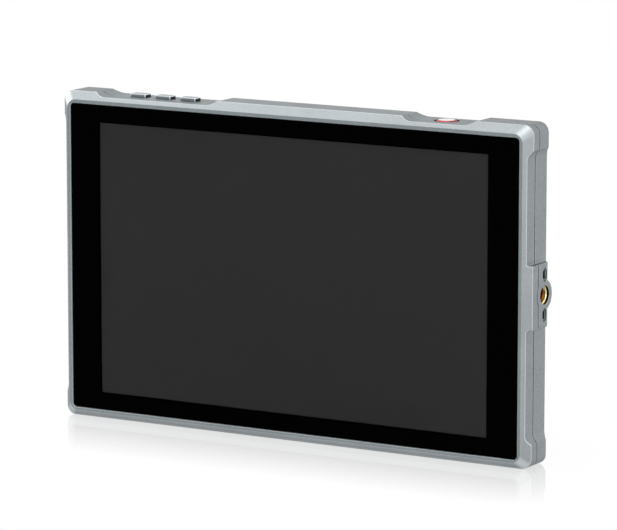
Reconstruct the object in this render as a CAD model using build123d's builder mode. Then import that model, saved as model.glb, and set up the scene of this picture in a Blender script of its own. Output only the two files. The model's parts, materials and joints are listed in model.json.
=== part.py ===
from build123d import *
import os

# A seven inch camera field monitor in a two-part aluminium case. X runs along the width,
# Y from the screen to the back and Z up. The origin is the middle of the base, on the
# surface that the monitor stands on. Depths are counted back from the front of the lip.

# ---- Driving sizes, in millimetres ------------------------------------------------------

# Case
case_width = 182.4
case_height = 114.0
case_thickness = 18.4
corner_radius = 3.5
front_chamfer = 2.7          # at 45 degrees, round the front
back_chamfer_across = 4.35   # round the back, measured over the face
back_chamfer_along = 5.2     # and along the thickness
base_trim = 0.5              # taken off the chamfered block by the flat base
side_wall = 2.3              # behind a recess, where the wall is thinnest
back_wall = 2.3
edge_break = 0.22
cut_over = 1.0               # how far a cut runs past the face it opens

# Joint between the front frame and the rear shell
seam_depth = 6.6
seam_gap = 0.5
seam_reveal = 0.6

# Recesses along the edges
side_recess = 1.6
side_recess_low = 8.3        # from the base to the lower crest
side_recess_high = 8.4       # from the top to the upper crest
side_recess_ramp = 3.0
top_recess = 1.5
top_recess_ramp = 4.2
key_recess_before = 13.95    # from the first key's middle to the crest
key_recess_after = 14.65     # from the last key's middle
power_recess_before = 13.4
power_recess_after = 14.3
pad_height = 21.5
step_radius = 0.6

# Screen
lip_side = 1.475             # flat face of the lip, beside the glass
lip_end = 1.375              # and above and below it
screen_drop = 0.15           # middle of the glass below the middle of the lip
glass_thickness = 0.7
glass_corner = 1.1
glass_bevel = 0.15
glass_gap = 0.1
lip_bevel = 0.35
tape_thickness = 0.2
tape_width = 1.8
ledge_width = 2.1
ledge_thickness = 1.2
film_thickness = 0.1
panel_side_margin = 7.425    # from the glass edge to the panel edge
panel_end_margin = 2.575
panel_thickness = 1.3
backlight_thickness = 2.0
backlight_rim = 2.6
sheet_play = 0.1
optical_films_thickness = 0.4
light_guide_thickness = 1.4
led_strip_height = 0.9
led_width = 3.0
led_height = 0.8
led_thickness = 1.2
led_pitch = 7.0
led_gap = 0.2
tray_thickness = 0.4

# Chassis plate and main board
plate_thickness = 0.8
plate_side_room = 1.1
plate_end_trim = 0.2
plate_screw_inset = 3.4
plate_screw_low = 14.7       # above the floor of the case
plate_screw_high = 13.2      # below its ceiling
plate_boss_width = 8.0
panel_side_room = 0.6
standoff_height = 1.4
standoff_radius = 2.4
standoff_end = 4.0           # in from the board's lower and upper edges
standoff_left = 13.0
standoff_right = 4.0
insulator_thickness = 0.25
insulator_left = 6.0
insulator_right = 2.0
insulator_end = 1.0
board_thickness = 1.4
board_width = 116.0
board_height = 70.0
board_side_room = 1.3

# Parts on the main board
processor_right = 8.0        # right of the board's middle
processor_width = 15.0
processor_height = 1.6
processor_corner = 0.4
pad_thickness = 0.8
heat_boss_width = 17.0
memory_gap = 5.5             # between the processor and the memory
memory_width = 11.0
memory_length = 9.0
memory_pitch = 13.0
memory_height = 1.1
inductor_width = 6.0
inductor_height = 3.0
inductor_corner = 1.0
inductor_right = 10.0        # in from the board's right edge
inductor_rows = (-23.0, -15.0, 7.0, 15.0)
capacitor_radius = 2.4
capacitor_height = 4.6
capacitor_edge = 0.4
capacitor_places = ((32.0, -21.0), (32.0, -13.0), (32.0, 13.0), (32.0, 21.0), (-26.0, -23.0), (-33.0, -23.0))
connector_height = 1.5
connector_length = 3.5
connector_side = 1.5
ribbon_thickness = 0.15
ribbon_rise = 0.6
panel_ribbon_left = 20.0
panel_ribbon_width = 34.0
panel_ribbon_grip = 0.4
panel_connector_low = 2.0
button_connector_low = 14.0  # below the board's top edge
key_ribbon_width = 8.0
power_ribbon_width = 6.0
power_ribbon_right = 12.0
power_ribbon_clear = 1.0

# Screws: metric two millimetre cap screws throughout
screw_radius = 1.0
screw_head_radius = 1.9
screw_head_height = 1.3
screw_head_bevel = 0.2
screw_socket = 1.5           # across flats
screw_socket_depth = 0.8
thread_play = 0.02
screw_clearance = 0.15
head_clearance = 0.2
tip_room = 0.2
column_radius = 3.2
column_play = 0.3
screw_land = 3.2             # metal under the head of a case screw
case_thread_start = 0.4      # behind the ledge of the front frame
corner_screw_inset = 7.8
edge_screw_inset = 3.9
edge_screw_room = 10.9       # from the end of the key board
edge_boss_width = 4.8
chassis_screw_length = 3.4
board_screw_stop = 0.2

# Camera mounts: quarter inch, twenty threads to the inch
thread_bore_radius = 2.6
thread_mouth_radius = 3.3
thread_lead_in = 0.7
insert_radius = 4.0
insert_length = 9.0
insert_nose = 0.8
insert_play = 0.05
insert_nose_play = 0.03
insert_sink = 0.1            # mouth of the insert below the face
insert_room = 0.6
mount_depth = 11.3
mount_boss_radius = 5.1
mount_wall = 1.0
pin_slot_width = 3.0
pin_slot_length = 4.7
pin_slot_offset = 6.7
pin_slot_depth = 0.6
pin_pocket_width = 2.7       # the deep pocket in the floor of a slot
pin_pocket_length = 2.75
pin_pocket_depth = 3.5

# Keys, power button and their switches
key_inset = 27.15            # middle of the first key from the left side
key_width = 6.1
key_depth = 3.9
key_pitch = 10.05
key_seam_gap = 0.1
key_rise = 1.2
key_play = 0.15
key_corner = 0.5
button_travel = 0.5
flange_thickness = 1.0
flange_gap = 0.3
flange_overhang = 0.8
power_inset = 35.7           # middle of the power button from the right side
power_hole_radius = 4.38
power_radius = 3.6
power_face_radius = 2.9
power_face_bevel = 0.1
power_ring_bevel = 0.35
power_ring_height = 1.6
power_ring_play = 0.02
power_rise = 0.3
switch_width = 5.2
switch_height = 2.6
plunger_radius = 1.25
plunger_play = 0.06
plunger_length = 2.0
plunger_bevel = 0.15
plunger_floor = 0.1
stem_height = 1.1
button_board_thickness = 1.0
button_board_margin = 6.0
button_board_front = 0.4     # behind the chassis plate
button_board_reach = 4.6     # behind the middle of the keys
button_screw_offset = 2.0
power_board_width = 20.0
shelf_width = 4.0
shelf_height = 3.8
button_screw_length = 3.6

# Sockets on the left side
port_margin = 0.5
port_play = 0.1
port_inset = 0.2
port_low_margin = 2.2
port_high_margin = 4.5
port_flange = 1.0
port_flange_reach = 1.4
port_flange_back = 1.0
video_width = 15.0
video_height = 5.6
video_length = 11.5
video_shoulder = 1.96
video_taper = 1.6
video_in_above = 54.0         # above the board's lower edge
video_out_above = 34.0
video_tongue_width = 11.2
video_tongue_thickness = 1.2
video_tongue_offset = 0.7
video_tongue_setback = 2.0
oval_width = 9.0
oval_height = 3.3
oval_length = 8.0
oval_wall = 0.33
oval_above = 19.5
oval_tongue_width = 6.6
oval_tongue_thickness = 0.7
oval_tongue_setback = 1.0
socket_wall = 0.4
socket_play = 0.15
phone_width = 6.6
phone_height = 5.2
phone_length = 12.0
phone_end = 1.0
phone_bore_radius = 1.8
phone_above = 9.5

# Battery plate on the back
mount_plate_width = 46.0
mount_plate_height = 72.0
mount_plate_corner = 3.0
rail_width = 3.2
rail_height = 2.5
rail_end = 3.0
hook_reach = 1.8
hook_thickness = 1.2
hook_length = 8.0
hook_low = 20.0              # below the plate's middle
hook_high = 16.0             # above it
plate_fixing_x = 13.0
plate_fixing_low = 17.0
plate_fixing_high = 12.0
plate_fixing_sink = 0.2
plate_fixing_boss = 2.7
plate_fixing_boss_height = 2.2
plate_fixing_tip_room = 0.6
contact_block_width = 18.0
contact_block_height = 3.5
contact_play = 0.1
blade_width = 1.9
blade_thickness = 0.56
blade_play = 0.05
blade_pitch = 5.5
blade_length = 5.0
blade_rise = 1.3
contact_board_gap = 0.3
contact_board_thickness = 1.2
contact_board_side = 2.0
contact_board_low = 1.5
contact_board_high = 3.0
header_width = 16.0
header_height = 2.5
header_low = 0.5
latch_width = 12.0
latch_height = 8.0
latch_above_middle = 27.0
latch_travel = 1.8
latch_skin = 1.0
latch_play = 0.15
latch_flange = 1.3
latch_flange_thickness = 1.0
latch_seat_gap = 0.1
latch_stop_gap = 0.1
latch_proud = 0.1            # what still stands out of the plate when pressed
latch_flat = 3.2
latch_foot_rise = 0.3
spring_radius = 2.2
spring_wire = 0.2
spring_turns = 4
spring_seat_rise = 0.4
spring_play = 0.4

# Cooling grooves on the back
groove_count = 13
groove_pitch = 5.0
groove_width = 1.8
groove_depth = 1.1
groove_margin = 9.9

# ---- Places worked out from the sizes ---------------------------------------------------

mount_plate_base = latch_skin + latch_seat_gap + latch_flange_thickness + latch_travel + latch_stop_gap
base_back = case_thickness + mount_plate_base
plate_rear = base_back + rail_height
front_y = -plate_rear / 2
side_x = case_width / 2
recess_x = side_x - side_recess
top_floor_z = case_height - top_recess
mount_z = case_height / 2
lip_width = case_width - 2 * front_chamfer
block_height = case_height + base_trim
block_middle = (case_height - base_trim) / 2
lip_height = block_height - 2 * front_chamfer
back_edge_depth = case_thickness - back_chamfer_along
cavity_x = recess_x - side_wall
cavity_top = top_floor_z - side_wall
cavity_bottom = side_wall
cavity_back = case_thickness - back_wall
block_front = seam_depth + seam_gap

# Screen, from the front to the back
screen_height = block_middle - screen_drop
glass_width = lip_width - 2 * (lip_side + glass_gap)
glass_height = lip_height - 2 * (lip_end + glass_gap)
panel_width = glass_width - 2 * panel_side_margin
panel_height = glass_height - 2 * panel_end_margin
panel_bottom = screen_height - panel_height / 2
panel_top = screen_height + panel_height / 2
ledge_depth = glass_thickness + tape_thickness
ledge_back = ledge_depth + ledge_thickness
panel_depth = glass_thickness + film_thickness
backlight_depth = panel_depth + panel_thickness
tray_depth = backlight_depth + backlight_thickness
plate_depth = tray_depth + tray_thickness
plate_back = plate_depth + plate_thickness
board_depth = plate_back + standoff_height
board_back = board_depth + board_thickness

# Main board
board_left = board_side_room - cavity_x
board_right = board_left + board_width
board_bottom = mount_z - board_height / 2
board_top = mount_z + board_height / 2
processor_x = (board_left + board_right) / 2 + processor_right
heat_front = board_back + processor_height + pad_thickness
ribbon_back = board_back + ribbon_rise
standoff_xs = (board_left + standoff_left, board_right - standoff_right)
standoff_zs = (board_bottom + standoff_end, board_top - standoff_end)
standoff_places = [(x, z) for x in standoff_xs for z in standoff_zs]

# Keys and power button, from the top down
button_depth = block_front + key_seam_gap + key_depth / 2
first_key_x = key_inset - side_x
key_xs = [first_key_x + index * key_pitch for index in range(3)]
power_x = side_x - power_inset
key_top = top_floor_z + key_rise
power_top = top_floor_z + power_rise
ring_seat = power_top - power_ring_height
flange_top = cavity_top - flange_gap
flange_bottom = flange_top - flange_thickness
plunger_top = flange_bottom - stem_height
switch_top = plunger_top - button_travel * 2
switch_bottom = switch_top - switch_height
button_board_bottom = switch_bottom - button_board_thickness
key_board_end = key_width / 2 + button_board_margin
key_board_span = (key_xs[0] - key_board_end, key_xs[-1] + key_board_end)
power_board_span = (power_x - power_board_width / 2, power_x + power_board_width / 2)
button_board_depths = (plate_back + button_board_front, button_depth + button_board_reach)
button_screw_depth = button_depth + button_screw_offset
shelves = []
for span in (key_board_span, power_board_span):
    shelves.append((span[0], span[0] + shelf_width))
    shelves.append((span[1] - shelf_width, span[1]))
button_screw_xs = [(shelf[0] + shelf[1]) / 2 for shelf in shelves]

# Camera mounts
mount_block = insert_length + insert_room + mount_wall
block_inner_x = side_x - mount_block
insert_hole_end = insert_length + insert_room

# Sockets
port_face_x = port_inset - recess_x
video_in_z = board_bottom + video_in_above
video_out_z = board_bottom + video_out_above
oval_z = board_bottom + oval_above
phone_z = board_bottom + phone_above
video_depth = board_back + video_height / 2
oval_depth = board_back + oval_height / 2
phone_depth = board_back + phone_height / 2
port_cutout_low = phone_z - phone_width / 2 - port_low_margin
port_cutout_high = video_in_z + video_width / 2 + port_high_margin
port_cutout_front = board_back - port_margin
port_cutout_back = board_back + video_height + port_margin

# Battery plate
plate_half = mount_plate_width / 2
plate_low = mount_z - mount_plate_height / 2
plate_high = mount_z + mount_plate_height / 2
contact_half = contact_block_width / 2
contact_low = plate_low + rail_width
contact_high = contact_low + contact_block_height
contact_board_back = cavity_back - contact_board_gap
contact_board_front = contact_board_back - contact_board_thickness
plate_fixing_zs = (mount_z - plate_fixing_low, mount_z + plate_fixing_high)
plate_fixing_places = [(side * plate_fixing_x, z) for side in (-1, 1) for z in plate_fixing_zs]
plate_fixing_seat = base_back - screw_head_height - plate_fixing_sink
plate_boss_front = cavity_back - plate_fixing_boss_height
latch_z = mount_z + latch_above_middle
latch_half = latch_width / 2
latch_span = (latch_z - latch_height / 2, latch_z + latch_height / 2)
latch_pocket_back = base_back - latch_skin
latch_flange_back = latch_pocket_back - latch_seat_gap
latch_flange_front = latch_flange_back - latch_flange_thickness
spring_seat = base_back + spring_seat_rise
spring_z = latch_span[0] + latch_flat

# Cooling grooves
back_flat_x = side_x - back_chamfer_across
groove_x = (plate_half + back_flat_x) / 2
groove_length = back_flat_x - plate_half - 2 * groove_margin

# Screw places, as (x, z)
corner_screw_x = side_x - corner_screw_inset
corner_screw_zs = (corner_screw_inset, case_height - corner_screw_inset)
corner_screw_places = [(side * corner_screw_x, z) for side in (-1, 1) for z in corner_screw_zs]
edge_screw_x = -key_board_span[1] - edge_screw_room
edge_screw_zs = (edge_screw_inset, top_floor_z - edge_screw_inset)
edge_screw_places = [(side * edge_screw_x, z) for side in (-1, 1) for z in edge_screw_zs]
case_screw_places = corner_screw_places + edge_screw_places
case_thread_end = ledge_back + case_thread_start
screw_seat_depth = block_front + screw_land
case_screw_length = screw_seat_depth - case_thread_end - tip_room
plate_screw_x = cavity_x - plate_screw_inset
plate_screw_zs = (cavity_bottom + plate_screw_low, cavity_top - plate_screw_high)
plate_screw_places = [(side * plate_screw_x, z) for side in (-1, 1) for z in plate_screw_zs]


# ---- Helpers ----------------------------------------------------------------------------

def facing(depth):
    """Sketch plane that looks out of the front, at a depth behind the lip."""
    return Plane.XZ.offset(-(front_y + depth))


def block(x_span, depth_span, z_span, mode=Mode.ADD):
    """A box from its two ends along X, along the thickness and along Z."""
    centre = [(span[0] + span[1]) / 2 for span in (x_span, depth_span, z_span)]
    with Locations((centre[0], front_y + centre[1], centre[2])):
        Box(
            abs(x_span[1] - x_span[0]),
            abs(depth_span[1] - depth_span[0]),
            abs(z_span[1] - z_span[0]),
            mode=mode,
        )


def round_bar(x, z, depth_span, radius, mode=Mode.ADD):
    """A round bar along the thickness."""
    middle = front_y + (depth_span[0] + depth_span[1]) / 2
    with Locations(Location((x, middle, z), (90, 0, 0))):
        Cylinder(radius, abs(depth_span[1] - depth_span[0]), mode=mode)


def upright_bar(x, depth, z_span, radius, mode=Mode.ADD):
    """A round bar that stands along Z."""
    with Locations((x, front_y + depth, (z_span[0] + z_span[1]) / 2)):
        Cylinder(radius, abs(z_span[1] - z_span[0]), mode=mode)


def cross_bar(x_span, depth, z, radius, mode=Mode.ADD):
    """A round bar that lies along X."""
    middle = (x_span[0] + x_span[1]) / 2
    with Locations(Location((middle, front_y + depth, z), (0, 90, 0))):
        Cylinder(radius, abs(x_span[1] - x_span[0]), mode=mode)


def around(middle, width):
    """The two ends of a width that is centred on a place."""
    return (middle - width / 2, middle + width / 2)


def screen_sheet(width, height, depth, thickness, corner=0.0):
    """A flat sheet centred on the picture, which starts at a depth and runs back."""
    with BuildSketch(facing(depth)) as sheet:
        with Locations((0, screen_height)):
            if corner:
                RectangleRounded(width, height, corner)
            else:
                Rectangle(width, height)
    extrude(sheet.sketch, amount=-thickness)


def edge_recess(start, end, floor, start_ramp, end_ramp):
    """Recess for a straight edge: a flat floor and concave ends, open above the edge.

    A ramp no longer than the step radius is an upright step with a round foot.
    """
    feet = []
    for crest, ramp, inward in ((start, start_ramp, 1), (end, end_ramp, -1)):
        feet.append((crest, crest + inward * ramp, inward))
    with BuildSketch() as recess:
        with BuildLine():
            Line((feet[0][1], -floor), (feet[1][1], -floor))
            for crest, foot, inward in feet:
                if abs(foot - crest) > step_radius:
                    TangentArc((foot, -floor), (crest, 0), tangent=(-inward, 0))
                else:
                    TangentArc((foot, -floor), (crest, step_radius - floor), tangent=(-inward, 0))
                    Line((crest, step_radius - floor), (crest, 0))
            Polyline((start, 0), (start, floor), (end, floor), (end, 0))
        make_face()
    return recess.sketch


def cap_screw(length):
    """A cap screw along Z, with the seat of its head at zero and its point down."""
    with BuildPart() as screw:
        with BuildSketch(Plane.XY):
            Circle(screw_head_radius)
        extrude(amount=screw_head_height)
        with BuildSketch(Plane.XY):
            Circle(screw_radius)
        extrude(amount=-length)
        with BuildSketch(Plane.XY.offset(screw_head_height)):
            RegularPolygon(screw_socket / 2, 6, major_radius=False)
        extrude(amount=-screw_socket_depth, mode=Mode.SUBTRACT)
        rim = screw.edges().filter_by(GeomType.CIRCLE).group_by(Axis.Z)[-1]
        chamfer(rim, screw_head_bevel)
    return screw.part


def backward_screws(places, seat_depth, length):
    """Cap screws driven from the back, with their seats at one depth."""
    screw = cap_screw(length)
    with BuildPart() as screws:
        with Locations(*[Location((x, front_y + seat_depth, z), (-90, 0, 0)) for x, z in places]):
            add(screw)
    return screws


def save(piece, name):
    """Name a finished piece and write it as a STEP file."""
    piece.part.label = name
    export_step(piece.part, "parts/" + name + ".step")


os.makedirs("parts", exist_ok=True)

# ---- Outline of the case, seen from the front -------------------------------------------

key_recess_shape = edge_recess(
    key_xs[0] - key_recess_before,
    key_xs[-1] + key_recess_after,
    top_recess,
    top_recess_ramp,
    top_recess_ramp,
)
power_recess_shape = edge_recess(
    power_x - power_recess_before,
    power_x + power_recess_after,
    top_recess,
    top_recess_ramp,
    top_recess_ramp,
)
side_recess_top = case_height - side_recess_high
left_recess_shape = edge_recess(
    side_recess_low, side_recess_top, side_recess, side_recess_ramp, side_recess_ramp
)
# The right side is drawn from the top down, because its edge runs the other way
pad_low, pad_high = around(mount_z, pad_height)
upper_right_shape = edge_recess(-side_recess_top, -pad_high, side_recess, side_recess_ramp, step_radius)
lower_right_shape = edge_recess(-pad_low, -side_recess_low, side_recess, step_radius, side_recess_ramp)

with BuildSketch() as outline:
    with Locations((0, case_height / 2)):
        RectangleRounded(case_width, case_height, corner_radius)
    with Locations((0, case_height)):
        add(key_recess_shape, mode=Mode.SUBTRACT)
        add(power_recess_shape, mode=Mode.SUBTRACT)
    with Locations((-side_x, 0)):
        add(left_recess_shape, rotation=90, mode=Mode.SUBTRACT)
    with Locations((side_x, 0)):
        add(upper_right_shape, rotation=-90, mode=Mode.SUBTRACT)
        add(lower_right_shape, rotation=-90, mode=Mode.SUBTRACT)

with BuildSketch() as tongue_outline:
    add(outline.sketch)
    offset(amount=-seam_reveal, kind=Kind.INTERSECTION)

# ---- Front frame ------------------------------------------------------------------------

with BuildPart() as front_cavity:
    block((-cavity_x, cavity_x), (ledge_back, seam_depth), (cavity_bottom, cavity_top))
    for x, z in corner_screw_places:
        round_bar(x, z, (ledge_back, seam_depth), column_radius, Mode.SUBTRACT)
    for x, z in edge_screw_places:
        inner = panel_bottom - sheet_play if z < screen_height else panel_top + sheet_play
        outer = 0 if z < screen_height else case_height
        block(around(x, edge_boss_width), (ledge_back, seam_depth), (inner, outer), Mode.SUBTRACT)
    for x, z in plate_screw_places:
        side = 1 if x > 0 else -1
        boss_x = (side * (panel_width / 2 + panel_side_room), side * cavity_x)
        block(boss_x, (ledge_back, plate_depth), around(z, plate_boss_width), Mode.SUBTRACT)

with BuildPart() as front_frame:
    with BuildSketch(facing(0)):
        with Locations((0, block_middle)):
            RectangleRounded(lip_width, lip_height, corner_radius)
    with BuildSketch(facing(front_chamfer)):
        with Locations((0, block_middle)):
            RectangleRounded(case_width, block_height, corner_radius)
    loft(ruled=True)
    with BuildSketch(facing(front_chamfer)):
        with Locations((0, block_middle)):
            RectangleRounded(case_width, block_height, corner_radius)
    extrude(amount=-(seam_depth - front_chamfer))
    with BuildSketch(facing(0)):
        add(outline.sketch)
    extrude(amount=-seam_depth, mode=Mode.INTERSECT)
    shoulder = front_frame.edges().filter_by(
        lambda edge: edge.bounding_box().min.Y > front_y + front_chamfer / 5
        and edge.bounding_box().max.Y < front_y + front_chamfer + edge_break / 2
    )
    fillet(shoulder, edge_break)
    # Pocket for the glass, window for the panel and the space behind the ledge
    with BuildSketch(facing(0)):
        with Locations((0, screen_height)):
            RectangleRounded(
                glass_width + 2 * glass_gap, glass_height + 2 * glass_gap, glass_corner + glass_gap
            )
    extrude(amount=-ledge_depth, mode=Mode.SUBTRACT)
    for depth, spread in ((0, lip_bevel), (lip_bevel, 0)):
        with BuildSketch(facing(depth)):
            with Locations((0, screen_height)):
                RectangleRounded(
                    glass_width + 2 * (glass_gap + spread),
                    glass_height + 2 * (glass_gap + spread),
                    glass_corner + glass_gap + spread,
                )
    loft(ruled=True, mode=Mode.SUBTRACT)
    block(
        around(0, glass_width - 2 * ledge_width),
        (0, ledge_back),
        around(screen_height, glass_height - 2 * ledge_width),
        Mode.SUBTRACT,
    )
    add(front_cavity.part, mode=Mode.SUBTRACT)
    for x, z in case_screw_places:
        round_bar(x, z, (case_thread_end, seam_depth), screw_radius + thread_play, Mode.SUBTRACT)
    chassis_thread_end = plate_back - chassis_screw_length - tip_room
    for x, z in plate_screw_places:
        round_bar(x, z, (chassis_thread_end, plate_depth), screw_radius + thread_play, Mode.SUBTRACT)
    # Room for the round bosses of the two camera mounts and for the power button
    boss_room = mount_boss_radius + seam_gap
    cross_bar((cavity_x - cut_over, side_x + cut_over), mount_depth, mount_z, boss_room, Mode.SUBTRACT)
    upright_bar(0, mount_depth, (-cut_over, cavity_bottom + cut_over), boss_room, Mode.SUBTRACT)
    roof_span = (cavity_top - cut_over, case_height + cut_over)
    upright_bar(power_x, button_depth, roof_span, power_hole_radius, Mode.SUBTRACT)
save(front_frame, "front_frame")

# ---- Rear shell -------------------------------------------------------------------------

front_opening = seam_depth - cut_over
shelf_span = (button_board_bottom - shelf_height, button_board_bottom)

with BuildPart() as shell_cavity:
    block((-cavity_x, cavity_x), (front_opening, cavity_back), (cavity_bottom, cavity_top))
    for x, z in case_screw_places:
        round_bar(x, z, (front_opening, cavity_back), column_radius, Mode.SUBTRACT)
    block((block_inner_x, side_x), (block_front, cavity_back), (pad_low, pad_high), Mode.SUBTRACT)
    block(around(0, pad_height), (block_front, cavity_back), (0, mount_block), Mode.SUBTRACT)
    for shelf in shelves:
        block(shelf, (block_front, cavity_back), shelf_span, Mode.SUBTRACT)
    block(
        around(processor_x, heat_boss_width),
        (heat_front, cavity_back),
        around(mount_z, heat_boss_width),
        Mode.SUBTRACT,
    )
    for x, z in plate_fixing_places:
        round_bar(x, z, (plate_boss_front, cavity_back), plate_fixing_boss, Mode.SUBTRACT)

with BuildPart() as rear_shell:
    with BuildSketch(facing(seam_depth)):
        with Locations((0, block_middle)):
            RectangleRounded(case_width, block_height, corner_radius)
    extrude(amount=-(back_edge_depth - seam_depth))
    for depth, inset in ((back_edge_depth, 0), (case_thickness, back_chamfer_across)):
        with BuildSketch(facing(depth)):
            with Locations((0, block_middle)):
                RectangleRounded(case_width - 2 * inset, block_height - 2 * inset, corner_radius)
    loft(ruled=True)
    with BuildSketch(facing(seam_depth)):
        add(outline.sketch)
    extrude(amount=-(case_thickness - seam_depth), mode=Mode.INTERSECT)
    back_shoulder = rear_shell.edges().filter_by(
        lambda edge: edge.bounding_box().min.Y > front_y + back_edge_depth - edge_break / 2
        and edge.bounding_box().max.Y < front_y + case_thickness - back_chamfer_along / 3
    )
    fillet(back_shoulder, edge_break)
    # The tongue that shows at the bottom of the groove between the two halves
    with BuildSketch(facing(seam_depth)):
        with Locations((0, case_height / 2)):
            Rectangle(case_width + 2 * cut_over, case_height + 2 * cut_over)
        add(tongue_outline.sketch, mode=Mode.SUBTRACT)
    extrude(amount=-seam_gap, mode=Mode.SUBTRACT)
    # Round bosses of the camera mounts, which reach over the groove and the back chamfer
    cross_bar((block_inner_x, side_x), mount_depth, mount_z, mount_boss_radius)
    upright_bar(0, mount_depth, (0, mount_block), mount_boss_radius)
    add(shell_cavity.part, mode=Mode.SUBTRACT)
    # Holes for the two brass inserts
    insert_end_x = side_x - insert_hole_end
    cross_bar((insert_end_x, side_x - insert_nose), mount_depth, mount_z, insert_radius, Mode.SUBTRACT)
    cross_bar((insert_end_x, side_x), mount_depth, mount_z, thread_mouth_radius, Mode.SUBTRACT)
    upright_bar(0, mount_depth, (insert_nose, insert_hole_end), insert_radius, Mode.SUBTRACT)
    upright_bar(0, mount_depth, (0, insert_hole_end), thread_mouth_radius, Mode.SUBTRACT)
    # Slots for the pins that stop a bracket turning, each with a deep pocket in its floor
    side_pins = [(front_y + mount_depth, mount_z + s * pin_slot_offset) for s in (-1, 1)]
    base_pins = [(s * pin_slot_offset, front_y + mount_depth) for s in (-1, 1)]
    with BuildSketch(Plane.YZ.offset(side_x)):
        with Locations(*side_pins):
            SlotOverall(pin_slot_length, pin_slot_width, rotation=90)
    extrude(amount=-pin_slot_depth, mode=Mode.SUBTRACT)
    with BuildSketch(Plane.YZ.offset(side_x)):
        with Locations(*side_pins):
            Rectangle(pin_pocket_width, pin_pocket_length)
    extrude(amount=-pin_pocket_depth, mode=Mode.SUBTRACT)
    with BuildSketch(Plane.XY):
        with Locations(*base_pins):
            SlotOverall(pin_slot_length, pin_slot_width)
    extrude(amount=pin_slot_depth, mode=Mode.SUBTRACT)
    with BuildSketch(Plane.XY):
        with Locations(*base_pins):
            Rectangle(pin_pocket_length, pin_pocket_width)
    extrude(amount=pin_pocket_depth, mode=Mode.SUBTRACT)
    # Screw seats
    for x, z in case_screw_places:
        head_hole = screw_head_radius + head_clearance
        round_bar(x, z, (screw_seat_depth, case_thickness), head_hole, Mode.SUBTRACT)
        round_bar(x, z, (seam_depth, screw_seat_depth), screw_radius + screw_clearance, Mode.SUBTRACT)
    for x, z in plate_fixing_places:
        round_bar(x, z, (plate_boss_front, case_thickness), screw_radius + thread_play, Mode.SUBTRACT)
    for x in button_screw_xs:
        upright_bar(x, button_screw_depth, shelf_span, screw_radius + thread_play, Mode.SUBTRACT)
    # Openings for the keys, the power button, the sockets and the battery contacts
    for x in key_xs:
        notch_depths = (front_opening, button_depth + key_depth / 2 + key_play)
        block(around(x, key_width + 2 * key_play), notch_depths, roof_span, Mode.SUBTRACT)
    upright_bar(power_x, button_depth, roof_span, power_hole_radius, Mode.SUBTRACT)
    block(
        (-side_x, cut_over - cavity_x),
        (port_cutout_front, port_cutout_back),
        (port_cutout_low, port_cutout_high),
        Mode.SUBTRACT,
    )
    block(
        (-contact_half, contact_half),
        (cavity_back - cut_over, case_thickness + cut_over),
        (contact_low, contact_high),
        Mode.SUBTRACT,
    )
    # Cooling grooves each side of the battery plate
    with BuildSketch(facing(case_thickness)):
        for side in (-1, 1):
            with Locations((side * groove_x, mount_z)):
                with GridLocations(groove_pitch, groove_pitch, 1, groove_count):
                    SlotOverall(groove_length, groove_width)
    extrude(amount=groove_depth, mode=Mode.SUBTRACT)
save(rear_shell, "rear_shell")

# ---- Screen -----------------------------------------------------------------------------

with BuildPart() as cover_glass:
    screen_sheet(glass_width, glass_height, 0, glass_thickness, glass_corner)
    chamfer(cover_glass.edges().group_by(Axis.Y)[0], glass_bevel)
save(cover_glass, "cover_glass")

with BuildPart() as glass_tape:
    screen_sheet(glass_width, glass_height, glass_thickness, tape_thickness, glass_corner)
    block(
        around(0, glass_width - 2 * tape_width),
        (0, ledge_back),
        around(screen_height, glass_height - 2 * tape_width),
        Mode.SUBTRACT,
    )
save(glass_tape, "glass_tape")

with BuildPart() as bonding_film:
    screen_sheet(panel_width, panel_height, glass_thickness, film_thickness)
save(bonding_film, "bonding_film")

with BuildPart() as display_panel:
    screen_sheet(panel_width, panel_height, panel_depth, panel_thickness)
save(display_panel, "display_panel")

rim_inner_width = panel_width - 2 * backlight_rim
rim_inner_height = panel_height - 2 * backlight_rim
with BuildPart() as backlight_frame:
    screen_sheet(panel_width, panel_height, backlight_depth, backlight_thickness)
    block(
        around(0, rim_inner_width), (0, plate_back), around(screen_height, rim_inner_height), Mode.SUBTRACT
    )
save(backlight_frame, "backlight_frame")

film_width = rim_inner_width - 2 * sheet_play
film_height = rim_inner_height - 2 * sheet_play
with BuildPart() as optical_films:
    screen_sheet(film_width, film_height, backlight_depth, optical_films_thickness)
save(optical_films, "optical_films")

guide_depth = backlight_depth + optical_films_thickness
guide_back = guide_depth + light_guide_thickness
strip_low = screen_height - film_height / 2
strip_high = strip_low + led_strip_height
guide_span = (strip_high + led_height + led_gap, screen_height + film_height / 2)
with BuildPart() as light_guide:
    block(around(0, film_width), (guide_depth, guide_back), guide_span)
save(light_guide, "light_guide")

with BuildPart() as reflector_sheet:
    screen_sheet(film_width, film_height, guide_back, tray_depth - guide_back)
save(reflector_sheet, "reflector_sheet")

with BuildPart() as led_bar:
    block(around(0, film_width), (guide_depth, guide_back), (strip_low, strip_high))
    with Locations((0, front_y + (guide_depth + guide_back) / 2, strip_high + led_height / 2)):
        with GridLocations(led_pitch, led_pitch, int(film_width // led_pitch), 1):
            Box(led_width, led_thickness, led_height)
save(led_bar, "led_bar")

with BuildPart() as backlight_tray:
    screen_sheet(panel_width, panel_height, tray_depth, tray_thickness)
save(backlight_tray, "backlight_tray")

# ---- Chassis plate ----------------------------------------------------------------------

with BuildPart() as chassis_plate:
    block(
        (plate_side_room - cavity_x, cavity_x - plate_side_room),
        (plate_depth, plate_back),
        (panel_bottom + plate_end_trim, panel_top - plate_end_trim),
    )
    for x, z in corner_screw_places:
        round_bar(x, z, (plate_depth, plate_back), column_radius + column_play, Mode.SUBTRACT)
    for x, z in plate_screw_places + standoff_places:
        round_bar(x, z, (plate_depth, plate_back), screw_radius + screw_clearance, Mode.SUBTRACT)
save(chassis_plate, "chassis_plate")

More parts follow.
